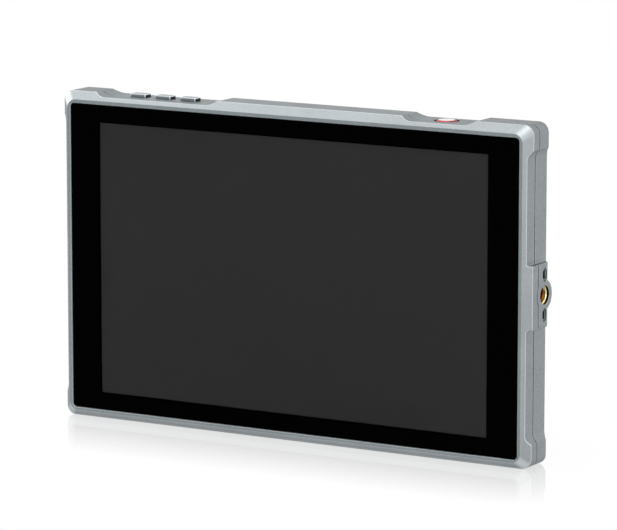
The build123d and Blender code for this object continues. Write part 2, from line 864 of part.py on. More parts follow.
chassis_screws = backward_screws(plate_screw_places, plate_back, chassis_screw_length)
save(chassis_screws, "chassis_screws")

with BuildPart() as board_standoffs:
    with BuildSketch(facing(plate_back)):
        with Locations(*standoff_places):
            RegularPolygon(standoff_radius, 6)
            Circle(screw_radius + thread_play, mode=Mode.SUBTRACT)
    extrude(amount=-standoff_height)
save(board_standoffs, "board_standoffs")

with BuildPart() as insulating_sheet:
    block(
        (board_left + insulator_left, board_right - insulator_right),
        (plate_back, plate_back + insulator_thickness),
        (board_bottom + insulator_end, board_top - insulator_end),
    )
    for x, z in standoff_places:
        round_bar(x, z, (plate_back, board_depth), standoff_radius + column_play, Mode.SUBTRACT)
save(insulating_sheet, "insulating_sheet")

# ---- Main board and what it carries -----------------------------------------------------

with BuildPart() as main_board:
    block((board_left, board_right), (board_depth, board_back), (board_bottom, board_top))
    for x, z in standoff_places:
        round_bar(x, z, (board_depth, board_back), screw_radius + screw_clearance, Mode.SUBTRACT)
save(main_board, "main_board")

board_screw_length = board_back - plate_depth - board_screw_stop
board_screws = backward_screws(standoff_places, board_back, board_screw_length)
save(board_screws, "board_screws")

pad_front = board_back + processor_height
processor_x_span = around(processor_x, processor_width)
processor_z_span = around(mount_z, processor_width)
with BuildPart() as video_processor:
    block(processor_x_span, (board_back, pad_front), processor_z_span)
    chamfer(video_processor.edges().filter_by(Axis.Y), processor_corner)
save(video_processor, "video_processor")

with BuildPart() as thermal_pad:
    block(processor_x_span, (pad_front, heat_front), processor_z_span)
save(thermal_pad, "thermal_pad")

memory_x = processor_x_span[0] - memory_gap
with BuildPart() as memory_chips:
    for z in around(mount_z, memory_pitch):
        block(
            (memory_x - memory_width, memory_x),
            (board_back, board_back + memory_height),
            around(z, memory_length),
        )
save(memory_chips, "memory_chips")

inductor_x = board_right - inductor_right
with BuildPart() as power_inductors:
    for row in inductor_rows:
        block(
            (inductor_x - inductor_width, inductor_x),
            (board_back, board_back + inductor_height),
            around(mount_z + row, inductor_width),
        )
    chamfer(power_inductors.edges().filter_by(Axis.Y), inductor_corner)
save(power_inductors, "power_inductors")

board_middle_x = (board_left + board_right) / 2
with BuildPart() as capacitors:
    for x, z in capacitor_places:
        capacitor_depths = (board_back, board_back + capacitor_height)
        round_bar(board_middle_x + x, mount_z + z, capacitor_depths, capacitor_radius)
    chamfer(capacitors.edges().group_by(Axis.Y)[-1], capacitor_edge)
save(capacitors, "capacitors")

# Flat ribbons and their connectors
panel_ribbon_start = board_left + panel_ribbon_left
panel_ribbon_x = (panel_ribbon_start, panel_ribbon_start + panel_ribbon_width)
key_ribbon_x = around(key_xs[1], key_ribbon_width)
power_ribbon_end = board_right - power_ribbon_right
power_ribbon_x = (power_ribbon_end - power_ribbon_width, power_ribbon_end)
panel_connector_z = board_bottom + panel_connector_low
button_connector_z = board_top - button_connector_low
button_ribbon_z = button_connector_z + connector_length

with BuildPart() as board_connectors:
    for x_span, z in (
        (panel_ribbon_x, panel_connector_z),
        (key_ribbon_x, button_connector_z),
        (power_ribbon_x, button_connector_z),
    ):
        block(
            (x_span[0] - connector_side, x_span[1] + connector_side),
            (board_back, board_back + connector_height),
            (z, z + connector_length),
        )
save(board_connectors, "board_connectors")

ribbon_depths = (ribbon_back, ribbon_back + ribbon_thickness)
with BuildPart() as panel_ribbon:
    block(
        panel_ribbon_x,
        (panel_depth + panel_ribbon_grip, ribbon_depths[1]),
        (panel_bottom - ribbon_thickness, panel_bottom),
    )
    block(panel_ribbon_x, ribbon_depths, (panel_bottom - ribbon_thickness, panel_connector_z))
save(panel_ribbon, "panel_ribbon")

with BuildPart() as key_ribbon:
    block(key_ribbon_x, ribbon_depths, (button_ribbon_z, button_board_bottom))
save(key_ribbon, "key_ribbon")

turn_low = board_top + power_ribbon_clear
ribbon_turn = (turn_low, turn_low + power_ribbon_width)
power_ribbon_rise = around(power_x, power_ribbon_width)
with BuildPart() as power_ribbon:
    block(power_ribbon_x, ribbon_depths, (button_ribbon_z, ribbon_turn[1]))
    block((power_ribbon_x[0], power_ribbon_rise[1]), ribbon_depths, ribbon_turn)
    block(power_ribbon_rise, ribbon_depths, (ribbon_turn[0], button_board_bottom))
save(power_ribbon, "power_ribbon")

# ---- Sockets and their panel ------------------------------------------------------------

def video_profile(depth, z, inset):
    """The tapered outline of a video socket, as corners for a polygon on a side plane."""
    half = video_width / 2 - inset
    low = front_y + depth - video_height / 2 + inset
    high = front_y + depth + video_height / 2 - inset
    return [
        (high, z - half),
        (high, z + half),
        (low + video_shoulder, z + half),
        (low, z + half - video_taper),
        (low, z - half + video_taper),
        (low + video_shoulder, z - half),
    ]


def video_socket(z):
    """Folded metal shell of a video socket that opens to the left."""
    with BuildPart() as socket:
        with BuildSketch(Plane.YZ.offset(port_face_x)):
            Polygon(*video_profile(video_depth, z, 0), align=None)
        extrude(amount=video_length)
        with BuildSketch(Plane.YZ.offset(port_face_x)):
            Polygon(*video_profile(video_depth, z, socket_wall), align=None)
        extrude(amount=video_length - socket_wall, mode=Mode.SUBTRACT)
    return socket


video_in_socket = video_socket(video_in_z)
save(video_in_socket, "video_in_socket")
video_out_socket = video_socket(video_out_z)
save(video_out_socket, "video_out_socket")

with BuildPart() as oval_socket:
    with BuildSketch(Plane.YZ.offset(port_face_x)):
        with Locations((front_y + oval_depth, oval_z)):
            SlotOverall(oval_width, oval_height, rotation=90)
    extrude(amount=oval_length)
    with BuildSketch(Plane.YZ.offset(port_face_x)):
        with Locations((front_y + oval_depth, oval_z)):
            SlotOverall(oval_width - 2 * oval_wall, oval_height - 2 * oval_wall, rotation=90)
    extrude(amount=oval_length - socket_wall, mode=Mode.SUBTRACT)
save(oval_socket, "oval_socket")

with BuildPart() as socket_tongues:
    for z in (video_in_z, video_out_z):
        block(
            (port_face_x + video_tongue_setback, port_face_x + video_length - socket_wall),
            around(video_depth + video_tongue_offset, video_tongue_thickness),
            around(z, video_tongue_width),
        )
    block(
        (port_face_x + oval_tongue_setback, port_face_x + oval_length - socket_wall),
        around(oval_depth, oval_tongue_thickness),
        around(oval_z, oval_tongue_width),
    )
save(socket_tongues, "socket_tongues")

with BuildPart() as headphone_socket:
    block(
        (port_face_x, port_face_x + phone_length),
        (board_back, board_back + phone_height),
        around(phone_z, phone_width),
    )
    phone_bore_x = (port_face_x, port_face_x + phone_length - phone_end)
    cross_bar(phone_bore_x, phone_depth, phone_z, phone_bore_radius, Mode.SUBTRACT)
save(headphone_socket, "headphone_socket")

with BuildPart() as port_panel:
    block(
        (port_face_x, -cavity_x),
        (port_cutout_front + port_play, port_cutout_back - port_play),
        (port_cutout_low + port_play, port_cutout_high - port_play),
    )
    block(
        (-cavity_x, port_flange - cavity_x),
        (board_back + port_play, port_cutout_back + port_flange_back),
        (port_cutout_low - port_flange_reach, port_cutout_high + port_flange_reach),
    )
    with BuildSketch(Plane.YZ.offset(port_face_x)):
        for z in (video_in_z, video_out_z):
            Polygon(*video_profile(video_depth, z, -socket_play), align=None)
        with Locations((front_y + oval_depth, oval_z)):
            SlotOverall(oval_width + 2 * socket_play, oval_height + 2 * socket_play, rotation=90)
        with Locations((front_y + phone_depth, phone_z)):
            Rectangle(phone_height + 2 * socket_play, phone_width + 2 * socket_play)
    extrude(amount=side_wall + port_flange, mode=Mode.SUBTRACT)
save(port_panel, "port_panel")

# ---- Camera mounts ----------------------------------------------------------------------

insert_outer = insert_radius - insert_play
insert_mouth = thread_mouth_radius - insert_nose_play
insert_shoulder = insert_length - insert_nose
insert_face = insert_length - insert_sink
with BuildPart() as insert_blank:
    with BuildSketch(Plane.XZ):
        with BuildLine():
            Polyline(
                (thread_bore_radius, 0),
                (insert_outer, 0),
                (insert_outer, insert_shoulder),
                (insert_mouth, insert_shoulder),
                (insert_mouth, insert_face),
                (thread_bore_radius, insert_face - thread_lead_in),
                (thread_bore_radius, 0),
            )
        make_face()
    revolve(axis=Axis.Z)

with BuildPart() as side_mount_insert:
    with Locations(Location((side_x - insert_length, front_y + mount_depth, mount_z), (0, 90, 0))):
        add(insert_blank.part)
save(side_mount_insert, "side_mount_insert")

with BuildPart() as base_mount_insert:
    with Locations(Location((0, front_y + mount_depth, insert_length), (180, 0, 0))):
        add(insert_blank.part)
save(base_mount_insert, "base_mount_insert")

# ---- Keys -------------------------------------------------------------------------------

plunger_foot = plunger_top - plunger_length


def key_cap(x):
    """A key with the flange that keeps it in the case and the stem that presses its switch."""
    with BuildPart() as key:
        with BuildSketch(Plane.XY.offset(flange_bottom)):
            with Locations((x, front_y + button_depth)):
                Rectangle(key_width + 2 * flange_overhang, key_depth + 2 * flange_overhang)
        extrude(amount=flange_thickness)
        with BuildSketch(Plane.XY.offset(flange_top)):
            with Locations((x, front_y + button_depth)):
                RectangleRounded(key_width, key_depth, key_corner)
        extrude(amount=key_top - flange_top)
        chamfer(key.edges().group_by(Axis.Z)[-1], edge_break)
        upright_bar(x, button_depth, (plunger_top, flange_bottom), plunger_radius)
    return key


def plunger(x):
    """The moving pin of a switch."""
    with BuildPart() as pin:
        upright_bar(x, button_depth, (plunger_foot, plunger_top), plunger_radius)
        chamfer(pin.edges().group_by(Axis.Z)[-1], plunger_bevel)
    return pin


def switches(xs):
    """The fixed housings of the switches, each with the hole that its plunger slides in."""
    with BuildPart() as bodies:
        for x in xs:
            block(around(x, switch_width), around(button_depth, switch_width), (switch_bottom, switch_top))
        for x in xs:
            hole_span = (plunger_foot - button_travel - plunger_floor, switch_top)
            upright_bar(x, button_depth, hole_span, plunger_radius + plunger_play, Mode.SUBTRACT)
    return bodies


def button_board(span):
    """A small board that lies flat under the buttons."""
    with BuildPart() as small_board:
        board_z = (button_board_bottom, switch_bottom)
        block(span, button_board_depths, board_z)
        for x in button_screw_xs:
            if span[0] < x < span[1]:
                hole = screw_radius + screw_clearance
                upright_bar(x, button_screw_depth, board_z, hole, Mode.SUBTRACT)
    return small_board


for x, place in zip(key_xs, ("left", "middle", "right")):
    save(key_cap(x), place + "_key")
    save(plunger(x), place + "_key_plunger")

key_switches = switches(key_xs)
save(key_switches, "key_switches")
power_switch = switches([power_x])
save(power_switch, "power_switch")
key_board = button_board(key_board_span)
save(key_board, "key_board")
power_board = button_board(power_board_span)
save(power_board, "power_board")

button_screw = cap_screw(button_screw_length)
with BuildPart() as button_board_screws:
    with Locations(*[(x, front_y + button_screw_depth, switch_bottom) for x in button_screw_xs]):
        add(button_screw)
save(button_board_screws, "button_board_screws")

# ---- Power button -----------------------------------------------------------------------

with BuildPart() as power_button:
    upright_bar(power_x, button_depth, (flange_bottom, flange_top), power_hole_radius + flange_overhang)
    upright_bar(power_x, button_depth, (flange_top, ring_seat), power_radius)
    upright_bar(power_x, button_depth, (ring_seat, power_top), power_face_radius)
    chamfer(power_button.edges().group_by(Axis.Z)[-1], power_face_bevel)
    upright_bar(power_x, button_depth, (plunger_top, flange_bottom), plunger_radius)
save(power_button, "power_button")

with BuildPart() as power_ring:
    ring_span = (ring_seat, power_top)
    upright_bar(power_x, button_depth, ring_span, power_radius)
    chamfer(power_ring.edges().group_by(Axis.Z)[-1], power_ring_bevel)
    ring_hole = power_face_radius + power_ring_play
    upright_bar(power_x, button_depth, ring_span, ring_hole, Mode.SUBTRACT)
save(power_ring, "power_ring")
save(plunger(power_x), "power_plunger")

# ---- Battery plate ----------------------------------------------------------------------

with BuildPart() as battery_plate:
    with BuildSketch(facing(case_thickness)):
        with Locations((0, mount_z)):
            RectangleRounded(mount_plate_width, mount_plate_height, mount_plate_corner)
    extrude(amount=-mount_plate_base)
    for side in (-1, 1):
        rail_inner = side * (plate_half - rail_width)
        rail_z = (plate_low + rail_end, plate_high - rail_end)
        block((rail_inner, side * plate_half), (base_back, plate_rear), rail_z)
        for z in (mount_z - hook_low, mount_z + hook_high):
            hook_x = (rail_inner, rail_inner - side * hook_reach)
            block(hook_x, (plate_rear - hook_thickness, plate_rear), around(z, hook_length))
    block((rail_end - plate_half, plate_half - rail_end), (base_back, plate_rear), (plate_low, contact_low))
    # Way for the contact block
    block(
        (-contact_half, contact_half),
        (case_thickness, base_back),
        (contact_low, contact_high),
        Mode.SUBTRACT,
    )
    # Latch window and the pocket behind it
    for margin, pocket_back in ((latch_play, base_back), (latch_play + latch_flange, latch_pocket_back)):
        block(
            (-latch_half - margin, latch_half + margin),
            (case_thickness, pocket_back),
            (latch_span[0] - margin, latch_span[1] + margin),
            Mode.SUBTRACT,
        )
    for x, z in plate_fixing_places:
        head_hole = screw_head_radius + head_clearance
        round_bar(x, z, (plate_fixing_seat, base_back), head_hole, Mode.SUBTRACT)
        round_bar(x, z, (case_thickness, base_back), screw_radius + screw_clearance, Mode.SUBTRACT)
save(battery_plate, "battery_plate")

plate_fixing_length = plate_fixing_seat - plate_boss_front - plate_fixing_tip_room
battery_plate_screws = backward_screws(plate_fixing_places, plate_fixing_seat, plate_fixing_length)
save(battery_plate_screws, "battery_plate_screws")

case_screws = backward_screws(case_screw_places, screw_seat_depth, case_screw_length)
save(case_screws, "case_screws")

blade_xs = (-blade_pitch, 0, blade_pitch)
blade_depth = base_back + blade_rise
with BuildPart() as contact_block:
    block(
        (contact_play - contact_half, contact_half - contact_play),
        (contact_board_back, plate_rear - contact_play),
        (contact_low, contact_high - contact_play),
    )
    for x in blade_xs:
        block(
            around(x, blade_width + 2 * blade_play),
            around(blade_depth, blade_thickness + 2 * blade_play),
            (contact_low, contact_high),
            Mode.SUBTRACT,
        )
save(contact_block, "contact_block")

with BuildPart() as contact_blades:
    for x in blade_xs:
        blade_z = (contact_low, contact_high + blade_length)
        block(around(x, blade_width), around(blade_depth, blade_thickness), blade_z)
save(contact_blades, "contact_blades")

with BuildPart() as contact_board:
    block(
        (-contact_half - contact_board_side, contact_half + contact_board_side),
        (contact_board_front, contact_board_back),
        (contact_low - contact_board_low, contact_high + contact_board_high),
    )
save(contact_board, "contact_board")

header_z = contact_low + header_low
with BuildPart() as power_header:
    block(around(0, header_width), (board_back, contact_board_front), (header_z, header_z + header_height))
save(power_header, "power_header")

# ---- Battery latch ----------------------------------------------------------------------

tooth_back = base_back + latch_travel + latch_proud
with BuildPart() as battery_latch:
    block(
        (-latch_half - latch_flange, latch_half + latch_flange),
        (latch_flange_front, latch_flange_back),
        (latch_span[0] - latch_flange, latch_span[1] + latch_flange),
    )
    with BuildSketch(Plane.YZ):
        with BuildLine():
            Polyline(
                (front_y + latch_flange_front, latch_span[0]),
                (front_y + tooth_back, latch_span[0]),
                (front_y + tooth_back, spring_z),
                (front_y + base_back + latch_foot_rise, latch_span[1]),
                (front_y + latch_flange_front, latch_span[1]),
                (front_y + latch_flange_front, latch_span[0]),
            )
        make_face()
    extrude(amount=latch_half, both=True)
    round_bar(0, spring_z, (latch_flange_front, spring_seat), spring_radius + spring_play, Mode.SUBTRACT)
save(battery_latch, "battery_latch")

spring_foot = case_thickness + spring_wire
spring_length = spring_seat - spring_wire - spring_foot
with BuildPart() as upright_spring:
    with BuildLine():
        coil = Helix(spring_length / spring_turns, spring_length, spring_radius - spring_wire)
    with BuildSketch(Plane(origin=coil @ 0, z_dir=coil % 0)):
        Circle(spring_wire)
    sweep(is_frenet=True)

with BuildPart() as latch_spring:
    with Locations(Location((0, front_y + spring_foot, spring_z), (-90, 0, 0))):
        add(upright_spring.part)
save(latch_spring, "latch_spring")
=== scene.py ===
"""The looks of a seven inch camera field monitor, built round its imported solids.

Each sub-assembly is a class that dresses its solids with finishes and adds the fine pieces
that the solids leave out: contacts, threads, grips and the small parts on the boards.
Lengths are in metres. X runs along the width, Y from the screen to the back and Z up.
"""

import json
import logging
import math
from abc import ABC, abstractmethod
from dataclasses import dataclass
from enum import Enum
from functools import partial, reduce
from typing import Iterable, Optional, Sequence, Union

import bmesh
import bpy
from mathutils import Matrix, Vector

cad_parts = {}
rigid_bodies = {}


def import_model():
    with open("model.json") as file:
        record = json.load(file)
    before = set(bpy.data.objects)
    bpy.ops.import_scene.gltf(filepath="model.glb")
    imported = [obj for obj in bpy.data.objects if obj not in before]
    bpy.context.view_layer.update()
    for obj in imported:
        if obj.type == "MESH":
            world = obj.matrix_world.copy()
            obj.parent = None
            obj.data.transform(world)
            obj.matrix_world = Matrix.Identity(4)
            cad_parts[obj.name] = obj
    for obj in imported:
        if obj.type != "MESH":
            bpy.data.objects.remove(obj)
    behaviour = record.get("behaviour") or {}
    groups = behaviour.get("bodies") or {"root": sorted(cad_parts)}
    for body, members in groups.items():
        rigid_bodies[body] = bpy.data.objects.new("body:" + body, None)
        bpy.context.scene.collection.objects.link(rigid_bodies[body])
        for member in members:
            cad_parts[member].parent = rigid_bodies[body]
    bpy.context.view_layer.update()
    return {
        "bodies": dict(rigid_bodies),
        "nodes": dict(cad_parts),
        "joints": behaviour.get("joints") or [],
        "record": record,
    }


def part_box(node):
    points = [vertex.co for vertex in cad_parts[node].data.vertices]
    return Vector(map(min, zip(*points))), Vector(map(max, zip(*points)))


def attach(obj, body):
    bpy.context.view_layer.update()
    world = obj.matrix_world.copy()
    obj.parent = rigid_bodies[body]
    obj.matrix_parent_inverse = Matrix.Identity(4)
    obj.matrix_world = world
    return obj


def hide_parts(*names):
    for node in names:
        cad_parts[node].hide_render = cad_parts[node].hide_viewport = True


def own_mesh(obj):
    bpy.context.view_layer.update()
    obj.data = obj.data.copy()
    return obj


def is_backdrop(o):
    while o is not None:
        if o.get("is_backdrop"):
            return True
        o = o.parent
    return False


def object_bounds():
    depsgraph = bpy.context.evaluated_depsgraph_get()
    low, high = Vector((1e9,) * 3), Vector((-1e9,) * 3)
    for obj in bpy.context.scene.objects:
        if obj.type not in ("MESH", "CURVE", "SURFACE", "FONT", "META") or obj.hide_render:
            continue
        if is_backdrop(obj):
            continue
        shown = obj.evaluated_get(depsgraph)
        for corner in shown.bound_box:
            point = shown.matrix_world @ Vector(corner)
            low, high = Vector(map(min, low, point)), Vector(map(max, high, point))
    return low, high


Colour = tuple[float, float, float]
Place = tuple[float, float, float]
Span = tuple[float, float]
Window = tuple[Span, Span]
Socket = bpy.types.NodeSocket
Value = Union[Socket, float, Sequence[float]]
Inputs = Union[dict[Union[str, int], Value], Sequence[Value]]

MM = 0.001
WHITE: Colour = (1.0, 1.0, 1.0)
BLACK: Colour = (0.0, 0.0, 0.0)
RISING: Span = (0.0, 1.0)
FALLING: Span = (1.0, 0.0)
NOISE_SWING: Span = (0.3, 0.7)
NOISE_ROUGHNESS = 0.55
SOFT_DETAIL = 2.0
FINE_DETAIL = 3.0
log = logging.getLogger("monitor")


class Body(Enum):
    """The bodies that new pieces ride on, by the names that the frame gives them."""

    CASE = "case"
    BATTERY_LATCH = "battery_latch"


class Axis(Enum):
    """The three directions of the frame, by their place in a vector."""

    X = 0
    Y = 1
    Z = 2

    def vector(self) -> Vector:
        """The unit vector of this direction."""
        return Vector([float(axis is self) for axis in Axis])


# ---- Nodes --------------------------------------------------------------------------


class Graph:
    """A node tree, with short ways to add nodes and to join them."""

    def __init__(self, owner: Union[bpy.types.Material, bpy.types.World]) -> None:
        """Empty a node tree, ready for new nodes.

        Args:
            owner: The material or the world that the tree belongs to.
        """
        owner.use_nodes = True
        self.tree = owner.node_tree
        self.tree.nodes.clear()

    def node(self, kind: str, values: Inputs = (), **settings: object) -> bpy.types.Node:
        """Add a node.

        Args:
            kind: The node's type in Blender.
            values: What goes into its inputs, in their order or by name or number.
            settings: The node's own settings.

        Returns:
            The new node.
        """
        made = self.tree.nodes.new(kind)
        for name, setting in settings.items():
            setattr(made, name, setting)
        for key, value in values.items() if isinstance(values, dict) else enumerate(values):
            self.feed(made.inputs[key], value)
        return made

    def feed(self, socket: Socket, value: Value) -> None:
        """Join a socket to another one, or give it a fixed value.

        Args:
            socket: The input that is fed.
            value: The output that feeds it, or its fixed value.
        """
        if isinstance(value, bpy.types.NodeSocket):
            self.tree.links.new(value, socket)
        elif socket.type == "RGBA":
            socket.default_value = (*value, 1.0)
        else:
            socket.default_value = value

    def place(self) -> Socket:
        """The place on the part, in metres of the frame."""
        return self.node("ShaderNodeTexCoord").outputs["Object"]

    def split(self, vector: Socket) -> tuple[Socket, Socket, Socket]:
        """The X, Y and Z of a vector."""
        return tuple(self.node("ShaderNodeSeparateXYZ", (vector,)).outputs)

    def height(self) -> Socket:
        """How high the place lies over the floor."""
        return self.split(self.place())[2]

    def calculate(self, operation: str, *numbers: Value) -> Socket:
        """Work out one number from others, by an operation of Blender's Math node."""
        return self.node("ShaderNodeMath", numbers, operation=operation).outputs["Value"]

    def apart(self, first: Value, second: Value) -> Socket:
        """How far two numbers lie apart."""
        return self.calculate("ABSOLUTE", self.calculate("SUBTRACT", first, second))

    def most(self, *numbers: Value) -> Socket:
        """The highest of some numbers."""
        return reduce(partial(self.calculate, "MAXIMUM"), numbers)

    def vector(self, operation: str, *vectors: Value) -> bpy.types.bpy_prop_collection:
        """Work out the outputs of one of Blender's operations on vectors."""
        return self.node("ShaderNodeVectorMath", vectors, operation=operation).outputs

    def spread(self, value: Socket, source: Span, target: Span = RISING) -> Socket:
        """Stretch a range of values onto another range, and stop at its ends."""
        return self.node("ShaderNodeMapRange", (value, *source, *target)).outputs["Result"]

    def swing(self, noise: Socket, target: Span) -> Socket:
        """Let a soft noise swing over a whole range."""
        return self.spread(noise, NOISE_SWING, target)

    def beyond(self, coordinate: Socket, ends: Span) -> Socket:
        """How far a coordinate lies past two ends, or below zero between them."""
        offset = self.apart(coordinate, sum(ends) / 2)
        return self.calculate("SUBTRACT", offset, (ends[1] - ends[0]) / 2)

    def outside(self, window: Window) -> Socket:
        """How far the place lies outside an upright window, or below zero inside it."""
        x, _, z = self.split(self.place())
        return self.most(self.beyond(x, window[0]), self.beyond(z, window[1]))

    def noise(
        self, size: float, detail: float = SOFT_DETAIL, stretch: Place = (1.0, 1.0, 1.0)
    ) -> Socket:
        """Soft random variation over the part.

        Args:
            size: How wide one blotch is.
            detail: How many finer layers lie in it.
            stretch: How many times longer the blotches are along each direction.

        Returns:
            The socket that holds the variation, from 0 to 1.
        """
        factors = [1.0 / (size * longer) for longer in stretch]
        scaled = self.vector("MULTIPLY", self.place(), factors)["Vector"]
        values = {"Vector": scaled, "Scale": 1.0, "Detail": detail, "Roughness": NOISE_ROUGHNESS}
        return self.node("ShaderNodeTexNoise", values).outputs["Fac"]

    def rings(self, distance: Socket, width: float) -> Socket:
        """Fine lines that follow one another along a distance.

        Args:
            distance: The distance.
            width: About how wide one line is.

        Returns:
            The socket that holds the lines, from 0 to 1.
        """
        along = self.calculate("DIVIDE", distance, width)
        values = {"W": along, "Scale": 1.0, "Detail": SOFT_DETAIL}
        return self.node("ShaderNodeTexNoise", values, noise_dimensions="1D").outputs["Fac"]

    def blend(self, share: Value, first: Value, second: Value) -> Socket:
        """Blend two colours, by the share of the second one."""
        # The node has inputs of the same names for numbers, so these go by their numbers.
        values = {0: share, 6: first, 7: second}
        return self.node("ShaderNodeMix", values, data_type="RGBA").outputs[2]

    def mix(self, share: Value, first: Socket, second: Socket) -> Socket:
        """Mix two shaders, by the share of the second one."""
        return self.node("ShaderNodeMixShader", (share, first, second)).outputs["Shader"]

    def shade(self, colour: Colour, variation: Socket, amount: float) -> Socket:
        """A colour that is a little darker and a little lighter from place to place.

        Args:
            colour: The colour in the middle of the range.
            variation: Where it is darker or lighter, as a soft noise has it.
            amount: How far it goes each way, as a share of the colour.

        Returns:
            The socket that holds the varied colour.
        """
        darker = [channel * (1.0 - amount) for channel in colour]
        lighter = [min(channel * (1.0 + amount), 1.0) for channel in colour]
        return self.blend(self.swing(variation, RISING), darker, lighter)

    def bump(self, height: Socket, depth: float, normal: Optional[Socket] = None) -> Socket:
        """Turn a height into a bumped surface normal.

        Args:
            height: The height, from 0 to 1.
            depth: How deep a height of 1 is.
            normal: The normal that is bumped, where it isn't the surface's own.

        Returns:
            The socket that holds the bumped normal.
        """
        values: dict[str, Value] = {"Height": height, "Distance": depth}
        if normal is not None:
            values["Normal"] = normal
        return self.node("ShaderNodeBump", values).outputs["Normal"]

    def surface(self, **values: Value) -> None:
        """Make the tree's surface from one principled shader, with _ for each space in a name."""
        inputs = {name.replace("_", " "): value for name, value in values.items()}
        self.output(self.node("ShaderNodeBsdfPrincipled", inputs).outputs["BSDF"])

    def output(self, shader: Socket, kind: str = "ShaderNodeOutputMaterial") -> None:
        """Send a shader to the tree's output."""
        self.node(kind, {"Surface": shader})


@dataclass(frozen=True)
class RoundedEdge:
    """An edge that is broken by tumbling, which catches the light along its whole length."""

    radius: float
    flat_tilts: tuple[float, ...] = (0.0, 0.7071, 1.0)
    tilt_play: Span = (0.05, 0.17)
    samples: int = 6

    def normal(self, graph: Graph) -> Socket:
        """The surface normal, turned smoothly round each edge."""
        bevel = graph.node("ShaderNodeBevel", {"Radius": self.radius}, samples=self.samples)
        return bevel.outputs["Normal"]

    def mask(self, graph: Graph, rounded: Socket) -> Socket:
        """Where the edges are, between faces that stand, face the front or lie at 45 degrees.

        Args:
            graph: The tree that the nodes go into.
            rounded: The rounded normal.

        Returns:
            The socket that holds 0 on the faces and up to 1 on the edges.
        """
        tilt = graph.calculate("ABSOLUTE", graph.split(rounded)[1])
        away: Value = 1.0
        for flat in self.flat_tilts:
            away = graph.calculate("MINIMUM", graph.apart(tilt, flat), away)
        return graph.spread(away, self.tilt_play)


# ---- Finishes -----------------------------------------------------------------------


@dataclass(frozen=True)
class Finish(ABC):
    """The finish of a surface, which stands for one material slot of the record."""

    slot: str

    def make(self) -> bpy.types.Material:
        """Make the finish as a material.

        Returns:
            The new material, named after its slot.
        """
        material = bpy.data.materials.new(self.slot)
        self.draw(Graph(material))
        return material

    @abstractmethod
    def draw(self, graph: Graph) -> None:
        """Add the nodes of this finish to a tree.

        Args:
            graph: The tree.
        """


@dataclass(frozen=True)
class BlastedMetal(Finish):
    """Bead-blasted and anodised metal: a fine grain, a painted highlight along the edges, and
    painted shade in grooves and corners and on faces that face the front.
    """

    colour: Colour
    roughness: Span = (0.35, 0.45)
    grain: float = 0.33 * MM
    grain_depth: float = 0.02 * MM
    cloud: float = 18 * MM
    cloud_swing: Span = (-0.06, 0.06)
    mottle: float = 0.22
    edge: RoundedEdge = RoundedEdge(0.26 * MM)
    # Painted highlight: the edges are painted lighter than the faces, by this gain and share.
    highlight_gain: float = 2.3
    highlight_share: float = 0.85
    grazing_tint: Colour = (0.58, 0.58, 0.58)
    # Painted shade: grooves and corners are painted darker, except near the floor.
    crevice_reach: float = 1.9 * MM
    crevice_open: Span = (0.3, 0.72)
    crevice_share: float = 0.95
    crevice_foot: Span = (0.5 * MM, 2 * MM)
    crevice_shade_level: float = 0.1
    crevice_samples: int = 8
    # Painted shade: faces that face the front are painted darker and bluer.
    front_faces: Span = (-0.96, -0.9)
    front_shade_tone: Colour = (0.71, 0.75, 0.76)

    def crevice_shade(self, graph: Graph) -> Socket:
        """Painted shade where the metal lies in a groove or a corner, except near the floor.

        Args:
            graph: The tree that the nodes go into.

        Returns:
            The socket that holds 0 in the open and up to 1 in a crevice.
        """
        values = {"Distance": self.crevice_reach}
        around = graph.node("ShaderNodeAmbientOcclusion", values, samples=self.crevice_samples)
        deep = graph.spread(around.outputs["AO"], self.crevice_open, (self.crevice_share, 0.0))
        above = graph.spread(graph.height(), self.crevice_foot)
        return graph.calculate("MULTIPLY", deep, above)

    def draw(self, graph: Graph) -> None:
        """Add the nodes of this finish to a tree.

        Args:
            graph: The tree.
        """
        grain = graph.noise(self.grain, detail=FINE_DETAIL)
        cloud = graph.noise(self.cloud)
        mixed = graph.calculate("ADD", grain, graph.swing(cloud, self.cloud_swing))
        rounded = self.edge.normal(graph)
        # Painted highlight: a lighter colour is painted along the rounded edges.
        edge_highlight_mask = graph.calculate("MULTIPLY", self.edge.mask(graph, rounded), self.highlight_share)
        # Painted shade: a darker, bluer colour for faces that face the front.
        front_shade_colour = tuple(channel * tone for channel, tone in zip(self.colour, self.front_shade_tone))
        front = graph.spread(graph.split(rounded)[1], self.front_faces, FALLING)
        faces = [graph.shade(colour, mixed, self.mottle) for colour in (self.colour, front_shade_colour)]
        painted_highlight = [min(channel * self.highlight_gain, 1.0) for channel in self.colour]
        metal = graph.blend(edge_highlight_mask, graph.blend(front, *faces), painted_highlight)
        # Painted shade: a darker colour painted in grooves and corners.
        dark = [channel * self.crevice_shade_level for channel in self.colour]
        graph.surface(
            Base_Color=graph.blend(self.crevice_shade(graph), metal, dark),
            Metallic=1.0,
            Specular_Tint=self.grazing_tint,
            Roughness=graph.swing(cloud, self.roughness),
            Normal=graph.bump(grain, self.grain_depth, rounded),
        )


@dataclass(frozen=True)
class BrushedMetal(Finish):
    """Rolled, drawn or folded metal, with fine lines along one direction."""

    colour: Colour
    along: Axis
    roughness: Span = (0.27, 0.41)
    line: float = 0.05 * MM
    length: float = 40.0
    depth: float = 0.004 * MM
    mottle: float = 0.1
    edge: RoundedEdge = RoundedEdge(0.08 * MM)

    def draw(self, graph: Graph) -> None:
        """Add the nodes of this finish to a tree.

        Args:
            graph: The tree.
        """
        stretch = tuple(self.length if axis is self.along else 1.0 for axis in Axis)
        lines = graph.noise(self.line, detail=FINE_DETAIL, stretch=stretch)
        graph.surface(
            Base_Color=graph.shade(self.colour, lines, self.mottle),
            Metallic=1.0,
            Roughness=graph.swing(lines, self.roughness),
            Normal=graph.bump(lines, self.depth, self.edge.normal(graph)),
        )


